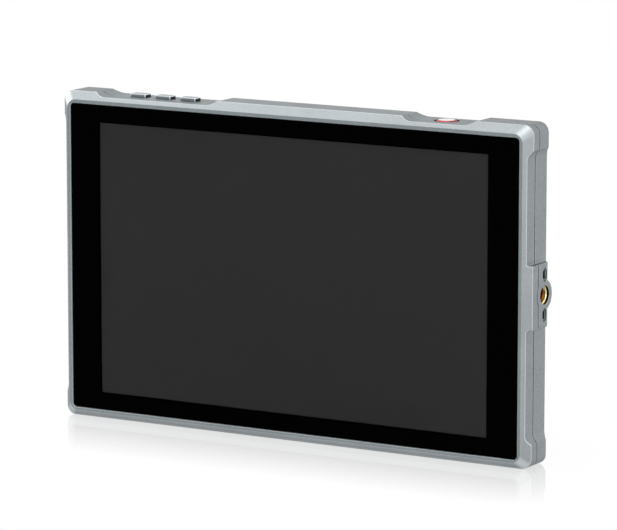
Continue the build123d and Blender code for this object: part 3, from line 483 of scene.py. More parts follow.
@dataclass(frozen=True)
class TurnedMetal(Finish):
    """Metal turned on a lathe, with fine rings round its axis."""

    colour: Colour
    centre: Place
    axis: Axis
    roughness: Span = (0.2, 0.34)
    ring: float = 0.09 * MM
    depth: float = 0.005 * MM
    stain: float = 1.4 * MM
    mottle: float = 0.08
    edge: RoundedEdge = RoundedEdge(0.06 * MM)

    def draw(self, graph: Graph) -> None:
        """Add the nodes of this finish to a tree.

        Args:
            graph: The tree.
        """
        moved = graph.vector("SUBTRACT", graph.place(), self.centre)["Vector"]
        across = [float(axis is not self.axis) for axis in Axis]
        radius = graph.vector("LENGTH", graph.vector("MULTIPLY", moved, across)["Vector"])["Value"]
        along = graph.split(moved)[self.axis.value]
        rings = graph.rings(graph.calculate("ADD", radius, along), self.ring)
        graph.surface(
            Base_Color=graph.shade(self.colour, graph.noise(self.stain), self.mottle),
            Metallic=1.0,
            Roughness=graph.swing(rings, self.roughness),
            Normal=graph.bump(rings, self.depth, self.edge.normal(graph)),
        )


@dataclass(frozen=True)
class ThreadedBrass(Finish):
    """Brass in a threaded bore, with painted shade in its mouth and on its threads and a painted
    highlight on its lead-in.
    """

    mouth: Place
    inward: Place
    mouth_depth: float
    lead_depth: float
    mouth_shade: Colour = (0.11, 0.1, 0.04)
    lead_in_highlight: Colour = (0.95, 0.88, 0.52)
    thread_shade: Colour = (0.2, 0.065, 0.012)
    rim_colour: Colour = (0.62, 0.55, 0.3)
    blur: float = 0.06 * MM
    roughness: Span = (0.14, 0.28)
    ring: float = 0.09 * MM
    depth: float = 0.004 * MM

    def draw(self, graph: Graph) -> None:
        """Add the nodes of this finish to a tree.

        Args:
            graph: The tree.
        """
        moved = graph.vector("SUBTRACT", graph.place(), self.mouth)["Vector"]
        depth = graph.vector("DOT_PRODUCT", moved, self.inward)["Value"]
        # From the rim inwards: painted shade in the mouth, a painted highlight on the lead-in,
        # painted shade on the threads.
        colours = (self.mouth_shade, self.lead_in_highlight, self.thread_shade)
        colour: Value = self.rim_colour
        for start, below in zip((0.0, self.mouth_depth, self.lead_depth), colours):
            share = graph.spread(depth, (start, start + self.blur))
            colour = graph.blend(share, colour, below)
        rings = graph.rings(depth, self.ring)
        graph.surface(
            Base_Color=colour,
            Metallic=1.0,
            Roughness=graph.swing(rings, self.roughness),
            Normal=graph.bump(rings, self.depth),
        )


@dataclass(frozen=True)
class KeyMetal(Finish):
    """A milled key, with a painted highlight on its rounded corners, slopes and foot, and painted
    shade on its ends.
    """

    colour: Colour
    rim_height: float
    # The colour of the painted highlight, and below it the colours of the painted shade on the
    # ends.
    highlight_colour: Colour = (0.8, 0.83, 0.86)
    slope_share: float = 0.35
    dark: Colour = (0.035, 0.038, 0.04)
    darkest: Colour = (0.004, 0.004, 0.005)
    corner: Span = (0.15, 0.4)
    end: Span = (0.86, 0.96)
    end_edge: Span = (0.02, 0.12)
    rim: float = 0.34 * MM
    rim_blur: float = 0.34 * MM / 3
    roughness: Span = (0.25, 0.35)
    grain: float = 0.2 * MM
    grain_depth: float = 0.01 * MM
    mottle: float = 0.12

    def draw(self, graph: Graph) -> None:
        """Add the nodes of this finish to a tree.

        Args:
            graph: The tree.
        """
        grain = graph.noise(self.grain, detail=FINE_DETAIL)
        rounded = RoundedEdge(self.rim).normal(graph)
        across, _, up = graph.split(graph.node("ShaderNodeNewGeometry").outputs["Normal"])
        across = graph.calculate("ABSOLUTE", across)
        rising = graph.spread(up, self.corner, (0.0, self.slope_share))
        sloped = graph.calculate("MULTIPLY", rising, graph.spread(up, self.end, FALLING))
        foot_top = self.rim_height + self.rim_blur
        foot = graph.spread(graph.height(), (self.rim_height, foot_top), FALLING)
        # Painted highlight on the rounded corners, the slopes and the foot of the key.
        painted_highlight = graph.most(graph.spread(across, self.corner), sloped, foot)
        # Painted shade on the ends, darkest along their rounded edges.
        turned = graph.calculate("ABSOLUTE", graph.split(rounded)[0])
        edge = graph.spread(graph.apart(turned, across), self.end_edge)
        ends = graph.blend(edge, self.dark, self.darkest)
        body = graph.blend(painted_highlight, graph.shade(self.colour, grain, self.mottle), self.highlight_colour)
        graph.surface(
            Base_Color=graph.blend(graph.spread(across, self.end), body, ends),
            Metallic=1.0,
            Roughness=graph.swing(grain, self.roughness),
            Normal=graph.bump(grain, self.grain_depth, rounded),
        )


@dataclass(frozen=True)
class MouldedPlastic(Finish):
    """Moulded plastic with the fine spark-eroded texture of its tool."""

    colour: Colour
    roughness: Span = (0.44, 0.56)
    texture: float = 0.16 * MM
    texture_depth: float = 0.014 * MM
    cloud: float = 9 * MM
    mottle: float = 0.12
    shine: float = 0.4
    clear: float = 0.0
    edge: RoundedEdge = RoundedEdge(0.14 * MM)

    def draw(self, graph: Graph) -> None:
        """Add the nodes of this finish to a tree.

        Args:
            graph: The tree.
        """
        texture = graph.noise(self.texture, detail=FINE_DETAIL)
        graph.surface(
            Base_Color=graph.shade(self.colour, graph.noise(self.cloud), self.mottle),
            Roughness=graph.swing(texture, self.roughness),
            Specular_IOR_Level=self.shine,
            Transmission_Weight=self.clear,
            Normal=graph.bump(texture, self.texture_depth, self.edge.normal(graph)),
        )


@dataclass(frozen=True)
class PrintedGlass(Finish):
    """Cover glass with a low-reflection coat, printed black round a clear window."""

    window: Window
    print_colour: Colour = (0.0004, 0.0004, 0.00045)
    print_edge: float = 0.08 * MM
    clear_tint: float = 0.015
    smudge: float = 26 * MM
    smudge_detail: float = 4.0
    mottle: float = 0.2
    roughness: Span = (0.05, 0.09)
    shine: float = 0.004

    def draw(self, graph: Graph) -> None:
        """Add the nodes of this finish to a tree.

        Args:
            graph: The tree.
        """
        smudges = graph.noise(self.smudge, self.smudge_detail)
        outside = graph.outside(self.window)
        graph.surface(
            Base_Color=graph.shade(self.print_colour, smudges, self.mottle),
            Roughness=graph.swing(smudges, self.roughness),
            Specular_IOR_Level=self.shine,
            Alpha=graph.spread(outside, (0.0, self.print_edge), (self.clear_tint, 1.0)),
        )


@dataclass(frozen=True)
class DisplayGlass(Finish):
    """The panel behind the cover glass: a dark grey picture area inside a black mask."""

    picture: Window
    picture_colour: Colour
    mask_colour: Colour = (0.0006, 0.0006, 0.0007)
    mask_edge: float = 0.1 * MM
    pixel: float = 0.08 * MM
    mottle: float = 0.02
    roughness: Span = (0.5, 0.6)

    def draw(self, graph: Graph) -> None:
        """Add the nodes of this finish to a tree.

        Args:
            graph: The tree.
        """
        pixels = graph.noise(self.pixel)
        masked = graph.spread(graph.outside(self.picture), (-self.mask_edge, self.mask_edge))
        picture = graph.shade(self.picture_colour, pixels, self.mottle)
        graph.surface(
            Base_Color=graph.blend(masked, picture, self.mask_colour),
            Roughness=graph.swing(pixels, self.roughness),
            Specular_IOR_Level=0.0,
        )


@dataclass(frozen=True)
class ClearBond(Finish):
    """Clear optical adhesive, all but unseen between the glass and the panel."""

    tint: Colour = (0.03, 0.03, 0.031)
    seen: float = 0.01
    cloud: float = 3 * MM
    mottle: float = 0.03
    roughness: Span = (0.1, 0.2)

    def draw(self, graph: Graph) -> None:
        """Add the nodes of this finish to a tree.

        Args:
            graph: The tree.
        """
        haze = graph.noise(self.cloud)
        graph.surface(
            Base_Color=graph.shade(self.tint, haze, self.mottle),
            Roughness=graph.swing(haze, self.roughness),
            Specular_IOR_Level=0.0,
            Alpha=graph.spread(haze, RISING, (0.0, self.seen)),
        )


@dataclass(frozen=True)
class CircuitBoard(Finish):
    """Green solder mask over copper tracks, with small plated holes."""

    colour: Colour
    face: Axis
    track_pitch: float = 1.1 * MM
    track_share: float = 0.07
    track_length: float = 6.4
    track_row: float = 0.9
    track_gain: float = 1.9
    track_lift: float = 0.01
    track_height: float = 0.03 * MM
    hole_pitch: float = 3.1 * MM
    hole_scatter: float = 0.75
    hole_size: Span = (0.14, 0.112)
    plating: Colour = (0.75, 0.58, 0.25)
    cloud: float = 6 * MM
    mottle: float = 0.15
    roughness: Span = (0.28, 0.4)

    def draw(self, graph: Graph) -> None:
        """Add the nodes of this finish to a tree.

        Args:
            graph: The tree.
        """
        parts = zip(graph.split(graph.place()), Axis)
        across = [part for part, axis in parts if axis is not self.face]
        flat = graph.node("ShaderNodeCombineXYZ", across).outputs["Vector"]
        track_values = {
            "Vector": flat,
            "Scale": 1.0 / self.track_pitch,
            "Mortar Size": self.track_share,
            "Brick Width": self.track_length,
            "Row Height": self.track_row,
            "Color1": BLACK,
            "Color2": BLACK,
            "Mortar": WHITE,
        }
        tracks = graph.node("ShaderNodeTexBrick", track_values).outputs["Color"]
        hole_values = {
            "Vector": flat,
            "Scale": 1.0 / self.hole_pitch,
            "Randomness": self.hole_scatter,
        }
        cells = graph.node("ShaderNodeTexVoronoi", hole_values, voronoi_dimensions="2D")
        plated = graph.spread(cells.outputs["Distance"], self.hole_size)
        cloud = graph.noise(self.cloud)
        lighter = [channel * self.track_gain + self.track_lift for channel in self.colour]
        mask = graph.blend(tracks, graph.shade(self.colour, cloud, self.mottle), lighter)
        graph.surface(
            Base_Color=graph.blend(plated, mask, self.plating),
            Metallic=plated,
            Roughness=graph.swing(cloud, self.roughness),
            Normal=graph.bump(tracks, self.track_height),
        )


@dataclass(frozen=True)
class FlatRibbon(Finish):
    """Amber film with copper conductors that run side by side."""

    colour: Colour
    copper: Colour = (0.6, 0.3, 0.12)
    pitch: float = 0.8 * MM
    crest: Span = (-0.1, 0.3)
    height: float = 0.02 * MM
    cloud: float = 4 * MM
    mottle: float = 0.12
    roughness: Span = (0.25, 0.4)

    def draw(self, graph: Graph) -> None:
        """Add the nodes of this finish to a tree.

        Args:
            graph: The tree.
        """
        x = graph.split(graph.place())[0]
        wave = graph.calculate("SINE", graph.calculate("MULTIPLY", x, math.tau / self.pitch))
        conductor = graph.spread(wave, self.crest)
        cloud = graph.noise(self.cloud)
        film = graph.shade(self.colour, cloud, self.mottle)
        graph.surface(
            Base_Color=graph.blend(conductor, film, self.copper),
            Roughness=graph.swing(cloud, self.roughness),
            Normal=graph.bump(conductor, self.height),
        )


@dataclass(frozen=True)
class LightStrip(Finish):
    """A white strip whose emitters, above a level, are capped with yellow phosphor."""

    top: float
    colour: Colour = (0.8, 0.8, 0.78)
    phosphor: Colour = (0.85, 0.7, 0.12)
    blur: float = 0.2 * MM
    cloud: float = 1 * MM
    mottle: float = 0.05
    roughness: Span = (0.35, 0.5)

    def draw(self, graph: Graph) -> None:
        """Add the nodes of this finish to a tree.

        Args:
            graph: The tree.
        """
        above = graph.spread(graph.height(), (self.top, self.top + self.blur))
        cloud = graph.noise(self.cloud)
        strip = graph.shade(self.colour, cloud, self.mottle)
        graph.surface(
            Base_Color=graph.blend(above, strip, self.phosphor),
            Roughness=graph.swing(cloud, self.roughness),
        )


# ---- Meshes -------------------------------------------------------------------------


def add_object(name: str, data: bpy.types.ID) -> bpy.types.Object:
    """Add a new object to the scene.

    Args:
        name: Its name.
        data: Its mesh, lamp or camera.

    Returns:
        The new object, at the frame's origin.
    """
    made = bpy.data.objects.new(name, data)
    bpy.context.scene.collection.objects.link(made)
    return made


def aim(thing: bpy.types.Object, place: Vector, target: Vector) -> None:
    """Put a lamp or a camera in its place and turn it towards a target."""
    thing.location = place
    thing.rotation_euler = (target - place).to_track_quat("-Z", "Y").to_euler()


def circle(centre: Vector, first: Vector, second: Vector, steps: int) -> list[Vector]:
    """The points of a circle.

    Args:
        centre: Its middle.
        first: The arm from the middle to its first point.
        second: The arm to the point a quarter turn on.
        steps: How many points it has.

    Returns:
        The points, in order.
    """
    turns = [math.tau * step / steps for step in range(steps)]
    return [centre + first * math.cos(turn) + second * math.sin(turn) for turn in turns]


class Shape:
    """A mesh that is being built, in metres of the frame."""

    def __init__(self) -> None:
        """Start with nothing in it."""
        self.mesh = bmesh.new()

    def rounded_box(
        self, low: Sequence[float], high: Sequence[float], radius: float, steps: int = 2
    ) -> None:
        """Add a box with rounded edges.

        Args:
            low: Its lowest corner.
            high: Its highest corner.
            radius: How far its edges are rounded.
            steps: How many faces each rounded edge has.
        """
        low, high = Vector(low), Vector(high)
        placed = Matrix.Translation((low + high) / 2) @ Matrix.Diagonal((*(high - low), 1.0))
        made = bmesh.ops.create_cube(self.mesh, size=1.0, matrix=placed)
        edges = {edge for corner in made["verts"] for edge in corner.link_edges}
        bmesh.ops.bevel(
            self.mesh,
            geom=list(edges),
            offset=radius,
            segments=steps,
            profile=0.5,
            affect="EDGES",
            clamp_overlap=True,
        )

    def skin(self, rings: Sequence[list[Vector]], looped: bool = False) -> None:
        """Stretch a skin over closed rings of points.

        Args:
            rings: The rings, in order, each with as many points.
            looped: Whether the last ring joins the first one. Otherwise both are filled.
        """
        made = [[self.mesh.verts.new(point) for point in ring] for ring in rings]
        for here, there in zip(made, made[1:] + made[:1] if looped else made[1:]):
            for corners in zip(here, here[1:] + here[:1], there[1:] + there[:1], there):
                self.mesh.faces.new(corners)
        if not looped:
            self.mesh.faces.new(made[0][::-1])
            self.mesh.faces.new(made[-1])

    def leaf(self, line: Sequence[Vector], across: Vector, width: float, thickness: float) -> None:
        """Add a thin strip that follows a line, such as a contact spring.

        Args:
            line: The points along the middle of the strip.
            across: The direction of its width.
            width: Its width.
            thickness: Its thickness.
        """
        side = across * width / 2
        rings = []
        for index, point in enumerate(line):
            along = line[min(index + 1, len(line) - 1)] - line[max(index - 1, 0)]
            out = along.cross(across).normalized() * thickness / 2
            moves = (-side - out, side - out, side + out, out - side)
            rings.append([point + move for move in moves])
        self.skin(rings)

    def done(self, name: str, sharp_angle: float = 35.0) -> bpy.types.Object:
        """Turn what was added into an object.

        Args:
            name: The name of the new object.
            sharp_angle: The angle in degrees over which an edge stays sharp.

        Returns:
            The new object, at the frame's origin.
        """
        bmesh.ops.recalc_face_normals(self.mesh, faces=self.mesh.faces)
        data = bpy.data.meshes.new(name)
        self.mesh.to_mesh(data)
        self.mesh.free()
        data.shade_smooth()
        data.set_sharp_from_angle(angle=math.radians(sharp_angle))
        return add_object(name, data)


@dataclass(frozen=True)
class NodeBox:
    """The room that a solid takes at rest."""

    low: Vector
    high: Vector

    @classmethod
    def of(cls, node: str) -> "NodeBox":
        """The room that one of the frame's nodes takes."""
        return cls(*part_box(node))

    @property
    def middle(self) -> Vector:
        """The middle of the room."""
        return (self.low + self.high) / 2

    @property
    def size(self) -> Vector:
        """How large the room is each way."""
        return self.high - self.low


class Workshop:
    """Dresses the frame's solids, and seats new pieces on its bodies."""

    def __init__(self, frame: dict) -> None:
        self.nodes: dict[str, bpy.types.Object] = frame["nodes"]
        self.materials: dict[Finish, bpy.types.Material] = {}

    def material(self, finish: Finish) -> bpy.types.Material:
        """The material of a finish, made once.

        Args:
            finish: The finish.

        Returns:
            Its material.
        """
        if finish not in self.materials:
            self.materials[finish] = finish.make()
        return self.materials[finish]

    def dress(self, finish: Finish, *nodes: str) -> None:
        """Give solids of the frame their finish.

        Args:
            finish: The finish.
            nodes: The names of the solids' nodes.
        """
        for node in nodes:
            for place in self.nodes[node].material_slots:
                place.material = self.material(finish)
            log.info("%s wears %s", node, finish.slot)

    def seat(
        self,
        piece: bpy.types.Object,
        finish: Finish,
        body: Body = Body.CASE,
        replaces: Iterable[str] = (),
    ) -> None:
        """Put a new piece on a body.

        Args:
            piece: The piece, in place.
            finish: Its finish.
            body: The body that it moves with.
            replaces: The solids that it stands for.
        """
        piece.data.materials.append(self.material(finish))
        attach(piece, body.value)
        for node in replaces:
            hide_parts(node)
        faces = len(piece.data.polygons)
        log.info("%s has %d faces and rides on %s", piece.name, faces, body.value)


class SubAssembly(ABC):
    """A group of pieces that belong together."""

    @abstractmethod
    def build(self, workshop: Workshop) -> None:
        """Dress the group's solids and add its fine pieces."""


# ---- Finishes of the monitor --------------------------------------------------------

SCREW_BLACK = BrushedMetal(
    "screw_steel", (0.12, 0.12, 0.125), Axis.Y, roughness=(0.31, 0.45), length=1.0
)
BLACK_PLASTIC = MouldedPlastic("black_plastic", (0.018, 0.018, 0.019))
WHITE_PLASTIC = MouldedPlastic("white_plastic", (0.78, 0.78, 0.75), roughness=(0.36, 0.48))
GOLD = BrushedMetal(
    "gold_contact", (0.85, 0.6, 0.25), Axis.Z, roughness=(0.13, 0.27), length=12.0
)
CAN_METAL = BrushedMetal("can_metal", (0.7, 0.7, 0.71), Axis.X, roughness=(0.19, 0.33))
SOCKET_STEEL = BrushedMetal("socket_steel", (0.6, 0.6, 0.61), Axis.X, roughness=(0.19, 0.33))
CHIP_BLACK = MouldedPlastic(
    "chip_black", (0.022, 0.022, 0.024), roughness=(0.49, 0.61), texture=0.08 * MM
)


# ---- Sub-assemblies -----------------------------------------------------------------


@dataclass
class Case(SubAssembly):
    """The two halves of the case and the screws that join them."""

    metal: BlastedMetal = BlastedMetal("case_metal", (0.334, 0.359, 0.37))

    def build(self, workshop: Workshop) -> None:
        """Dress the case and its screws."""
        workshop.dress(self.metal, "front_frame", "rear_shell")
        workshop.dress(SCREW_BLACK, "case_screws")


@dataclass
class Screen(SubAssembly):
    """The cover glass, the display panel behind it and its backlight."""

    picture_half: Span = (75.4 * MM, 47.125 * MM)
    window_margin: float = 0.5 * MM
    picture_colour: Colour = (0.0326, 0.0326, 0.0326)
    bond_skin: float = 0.012 * MM
    bond_edge: float = 0.02 * MM
    strip_height: float = 0.9 * MM
    tape: MouldedPlastic = MouldedPlastic(
        "black_tape", (0.015, 0.015, 0.015), roughness=(0.64, 0.76)
    )
    film: MouldedPlastic = MouldedPlastic(
        "film_white", (0.85, 0.85, 0.86), roughness=(0.24, 0.36), texture=0.05 * MM
    )
    guide: MouldedPlastic = MouldedPlastic(
        "clear_plastic", (0.9, 0.93, 0.94), roughness=(0.09, 0.21), clear=0.8
    )
    tray: BrushedMetal = BrushedMetal("sheet_steel", (0.55, 0.55, 0.56), Axis.X)

    def window(self, margin: float = 0.0) -> Window:
        """The picture area, seen from the front.

        Args:
            margin: How far the window reaches past it.

        Returns:
            The window's ends along X and along Z.
        """
        middle = NodeBox.of("display_panel").middle
        reaches = [half + margin for half in self.picture_half]
        centre = (middle.x, middle.z)
        return tuple((at - reach, at + reach) for at, reach in zip(centre, reaches))

    def build(self, workshop: Workshop) -> None:
        """Dress the layers from the front to the back, and add the bond.

        Args:
            workshop: What dresses and seats them.
        """
        clear = self.window(self.window_margin)
        workshop.dress(PrintedGlass("cover_glass", clear), "cover_glass")
        picture = DisplayGlass("display_glass", self.window(), self.picture_colour)
        workshop.dress(picture, "display_panel")
        film = NodeBox.of("bonding_film")
        skin = Vector((0.0, self.bond_skin, 0.0))
        bond = Shape()
        bond.rounded_box(film.low + skin, film.high - skin, self.bond_edge)
        piece = bond.done("optical_bond")
        workshop.seat(piece, ClearBond("clear_film"), replaces=("bonding_film",))
        workshop.dress(self.tape, "glass_tape", "insulating_sheet")
        workshop.dress(WHITE_PLASTIC, "backlight_frame")
        workshop.dress(self.film, "optical_films", "reflector_sheet")
        workshop.dress(self.guide, "light_guide")
        workshop.dress(self.tray, "backlight_tray")
        strip_top = NodeBox.of("led_bar").low.z + self.strip_height
        workshop.dress(LightStrip("led_strip", strip_top), "led_bar")


@dataclass
class Electronics(SubAssembly):
    """The chassis plate, the boards and what they carry."""

    chassis: BlastedMetal = BlastedMetal(
        "sheet_metal", (0.5, 0.51, 0.52), roughness=(0.3, 0.4), grain=0.4 * MM
    )
    board_green: Colour = (0.012, 0.09, 0.04)
    rubber: MouldedPlastic = MouldedPlastic(
        "thermal_rubber", (0.32, 0.38, 0.5), roughness=(0.64, 0.76)
    )
    ribbon: FlatRibbon = FlatRibbon("ribbon_film", (0.45, 0.2, 0.03))
    brass: BrushedMetal = BrushedMetal(
        "brass", (0.8, 0.56, 0.22), Axis.Y, roughness=(0.17, 0.31), length=1.0
    )

    def build(self, workshop: Workshop) -> None:
        """Dress the boards and add their smallest parts.

        Args:
            workshop: What dresses and seats them.
        """
        workshop.dress(self.chassis, "chassis_plate")
        workshop.dress(SCREW_BLACK, "chassis_screws", "board_screws", "button_board_screws")
        workshop.dress(self.brass, "board_standoffs")
        upright = CircuitBoard("circuit_board", self.board_green, Axis.Y)
        workshop.dress(upright, "main_board", "contact_board")
        level = CircuitBoard("circuit_board", self.board_green, Axis.Z)
        workshop.dress(level, "key_board", "power_board")
        workshop.dress(CHIP_BLACK, "video_processor", "memory_chips", "power_inductors")
        workshop.dress(self.rubber, "thermal_pad")
        workshop.dress(CAN_METAL, "capacitors")
        workshop.dress(WHITE_PLASTIC, "board_connectors", "power_header")
        workshop.dress(self.ribbon, "panel_ribbon", "key_ribbon", "power_ribbon")
        BoardPassives().build(workshop)
        ConnectorLocks().build(workshop)


@dataclass
class BoardPassives(SubAssembly):
    """Small ceramic capacitors in rows each side of the processor, with tinned ends."""

    length: float = 1.6 * MM
    width: float = 0.8 * MM
    height: float = 0.8 * MM
    end: float = 0.3 * MM
    end_lap: float = 0.03 * MM
    side_gap: float = 1.2 * MM
    pitch: float = 1.75 * MM
    edge: float = 0.08 * MM
    columns: int = 2
    ceramic: MouldedPlastic = MouldedPlastic(
        "chip_black", (0.32, 0.2, 0.11), roughness=(0.39, 0.51), texture=0.05 * MM
    )

    def places(self) -> list[Vector]:
        """Where the capacitors stand on the board.

        Returns:
            The middles of their feet.
        """
        processor = NodeBox.of("video_processor")
        foot = NodeBox.of("main_board").high.y
        rows = int(processor.size.z / self.pitch)
        found = []
        for side in (-1, 1):
            edge = processor.middle.x + side * processor.size.x / 2
            for column in range(self.columns):
                x = edge + side * (self.side_gap + column * (self.length + self.end))
                for row in range(rows):
                    z = processor.middle.z + (row - (rows - 1) / 2) * self.pitch
                    found.append(Vector((x, foot, z)))
        return found

    def build(self, workshop: Workshop) -> None:
        """Add the bodies and their ends.

        Args:
            workshop: What dresses and seats them.
        """
        bodies, ends = Shape(), Shape()
        half = Vector((self.length / 2, 0, self.width / 2))
        cap = Vector((self.end / 2 + self.end_lap, 0, self.width / 2 + self.end_lap))
        rise, lap = Vector((0, self.height, 0)), Vector((0, self.end_lap, 0))
        for place in self.places():
            bodies.rounded_box(place - half, place + half + rise, self.edge)
            for side in (-1, 1):
                middle = place + Vector((side * (self.length - self.end) / 2, 0, 0))
                ends.rounded_box(middle - cap, middle + cap + rise + lap, self.edge)
        workshop.seat(bodies.done("ceramic_capacitors"), self.ceramic)
        workshop.seat(ends.done("ceramic_capacitor_ends"), CAN_METAL)


@dataclass
class ConnectorLocks(SubAssembly):
    """The dark flaps that lock each flat ribbon in its connector."""

    thickness: float = 0.5 * MM
    length: float = 1.4 * MM
    edge: float = 0.12 * MM
    power_ribbon_width: float = 6.0 * MM

    def build(self, workshop: Workshop) -> None:
        """Add one flap over each ribbon's end.

        Args:
            workshop: What dresses and seats them.
        """
        top = NodeBox.of("board_connectors").high.y
        shape = Shape()
        for ribbon in ("panel_ribbon", "key_ribbon", "power_ribbon"):
            box = NodeBox.of(ribbon)
            start = box.high.z if ribbon == "panel_ribbon" else box.low.z - self.length
            end = box.low.x + self.power_ribbon_width if ribbon == "power_ribbon" else box.high.x
            high = (end, top + self.thickness, start + self.length)
            shape.rounded_box((box.low.x, top, start), high, self.edge)
        workshop.seat(shape.done("ribbon_locks"), BLACK_PLASTIC)


@dataclass(frozen=True)
class ContactRows:
    """The rows of gold contacts on the back and the front of a socket's tongue."""

    counts: tuple[int, int]
    pitch: float
    width: float
    span: Span
    tongue_offset: float
    tongue_thickness: float
    thickness: float = 0.08 * MM
    lift: float = 0.05 * MM

    def shape(self, socket: str) -> Shape:
        """Set the contacts in a socket.

        Args:
            socket: The node of the socket that the tongue lies in.

        Returns:
            The shape that holds the contacts.
        """
        box = NodeBox.of(socket)
        start, end = [box.low.x + reach for reach in self.span]
        shape = Shape()
        for count, face in zip(self.counts, (1, -1)):
            lift = face * self.lift
            y = box.middle.y + self.tongue_offset + face * self.tongue_thickness / 2 + lift / 2
            for index in range(count):
                z = box.middle.z + (index - (count - 1) / 2) * self.pitch
                bend = ((start, y - lift, z), (start + self.width, y, z), (end, y, z))
                line = [Vector(point) for point in bend]
                shape.leaf(line, Axis.Z.vector(), self.width, self.thickness)
        return shape


@dataclass(frozen=True)
class SocketCollar:
    """The turned ring round the mouth of a round socket."""

    outer: float = 2.5 * MM
    inner: float = 1.85 * MM
    thickness: float = 0.14 * MM
    steps: int = 48

    def shape(self, socket: str) -> Shape:
        """Turn the ring, with both its shoulders broken.

        Args:
            socket: The node of the socket that it lies round.

        Returns:
            The shape that holds the ring.
        """
        box = NodeBox.of(socket)
        mouth = Vector((box.low.x, box.middle.y, box.middle.z))
        bevel = self.thickness / 2
        inner = [(self.inner, 0.0), (self.inner, bevel), (self.inner + bevel, self.thickness)]
        outer = [(self.outer - bevel, self.thickness), (self.outer, bevel), (self.outer, 0.0)]
        rings = []
        for outward in circle(Vector(), Axis.Y.vector(), Axis.Z.vector(), self.steps):
            profile = [outward * radius - Axis.X.vector() * rise for radius, rise in inner + outer]
            rings.append([mouth + offset for offset in profile])
        shape = Shape()
        shape.skin(rings, looped=True)
        return shape


@dataclass
class Sockets(SubAssembly):
    """The sockets on the left side, with their contacts."""

    video: ContactRows = ContactRows(
        counts=(10, 9),
        pitch=1.0 * MM,
        width=0.36 * MM,
        span=(2.4 * MM, 10.6 * MM),
        tongue_offset=0.7 * MM,
        tongue_thickness=1.2 * MM,
    )
    oval: ContactRows = ContactRows(
        counts=(12, 12),
        pitch=0.5 * MM,
        width=0.26 * MM,
        span=(1.3 * MM, 7.2 * MM),
        tongue_offset=0.0,
        tongue_thickness=0.7 * MM,
    )
    collar: SocketCollar = SocketCollar()

    def build(self, workshop: Workshop) -> None:
        """Dress the sockets, and add their contacts and the collar.

        Args:
            workshop: What dresses and seats them.
        """
        workshop.dress(SOCKET_STEEL, "video_in_socket", "video_out_socket", "oval_socket")
        workshop.dress(BLACK_PLASTIC, "socket_tongues", "headphone_socket", "port_panel")
        rows = {"video_in": self.video, "video_out": self.video, "oval": self.oval}
        for name, contacts in rows.items():
            workshop.seat(contacts.shape(name + "_socket").done(name + "_contacts"), GOLD)
        ring = self.collar.shape("headphone_socket")
        workshop.seat(ring.done("headphone_collar"), SOCKET_STEEL)


@dataclass
class CameraMount(SubAssembly):
    """A brass insert with its real thread, quarter inch with twenty turns to the inch."""

    node: str
    inward: Vector
    pitch: float = 1.27 * MM
    crest_radius: float = 2.6 * MM
    root_radius: float = 3.12 * MM
    mouth_radius: float = 3.22 * MM
    nose_radius: float = 3.27 * MM
    nose: float = 0.7 * MM
    counterbore: float = 0.85 * MM
    lead_in: float = 0.65 * MM
    crest_share: float = 0.14
    root_share: float = 0.2
    steps_round: int = 72
    steps_per_turn: int = 10
    sharp_angle: float = 25.0

    def thread_radius(self, depth: float, turn: float) -> float:
        """How far the bore's wall lies from its axis.

        Args:
            depth: How deep in the bore, from the mouth.
            turn: How far round the axis, as a share of a turn.

        Returns:
            The radius there.
        """
        if depth <= self.counterbore:
            return self.mouth_radius
        away = abs((depth / self.pitch - turn) % 1.0 - 0.5) * 2.0
        flank = (away - self.root_share) / (1.0 - self.root_share - self.crest_share)
        share = 1.0 - min(max(flank, 0.0), 1.0)
        thread = self.crest_radius + share * (self.root_radius - self.crest_radius)
        fall = (depth - self.counterbore) / self.lead_in
        return max(thread, self.mouth_radius - fall * (self.mouth_radius - self.crest_radius))

    def build(self, workshop: Workshop) -> None:
        """Build the insert and put it in place of the plain one.

        Args:
            workshop: What dresses and seats them.
        """
        box = NodeBox.of(self.node)
        along = [abs(part) > 0.5 for part in self.inward].index(True)
        length = box.size[along]
        outer = min(size for index, size in enumerate(box.size) if index != along) / 2
        mouth = box.middle - self.inward * length / 2
        side = self.inward.orthogonal().normalized()
        arms = (side, self.inward.cross(side))
        steps = int(length / self.pitch * self.steps_per_turn)
        depths = [length * step / steps for step in range(steps + 1)]
        back = [(outer, length), (outer, self.nose)]
        back += [(self.nose_radius, self.nose), (self.nose_radius, 0.0)]
        rings = []
        for step, outward in enumerate(circle(Vector(), *arms, self.steps_round)):
            turn = step / self.steps_round
            wall = [(self.thread_radius(depth, turn), depth) for depth in depths]
            profile = [outward * radius + self.inward * depth for radius, depth in wall + back]
            rings.append([mouth + offset for offset in profile])
        shape = Shape()
        shape.skin(rings, looped=True)
        lead_end = self.counterbore + self.lead_in
        finish = ThreadedBrass(
            "brass", tuple(mouth), tuple(self.inward), self.counterbore, lead_end
        )
        piece = shape.done(self.node.replace("insert", "threaded_insert"), self.sharp_angle)
        workshop.seat(piece, finish, replaces=(self.node,))


@dataclass
class Keys(SubAssembly):
    """The three keys and the switches under them."""

    places: tuple[str, ...] = ("left", "middle", "right")
    colour: Colour = (0.25, 0.29, 0.31)
    shown_height: float = 1.3 * MM

    def build(self, workshop: Workshop) -> None:
        """Dress the keys, their plungers and their switches.

        Args:
            workshop: What dresses and seats them.
        """
        # Below this height the key is painted lighter: a painted highlight round its foot.
        foot = NodeBox.of("left_key").high.z - self.shown_height
        metal = KeyMetal("key_metal", self.colour, foot)
        workshop.dress(metal, *[place + "_key" for place in self.places])
        workshop.dress(WHITE_PLASTIC, *[place + "_key_plunger" for place in self.places])
        workshop.dress(BLACK_PLASTIC, "key_switches")


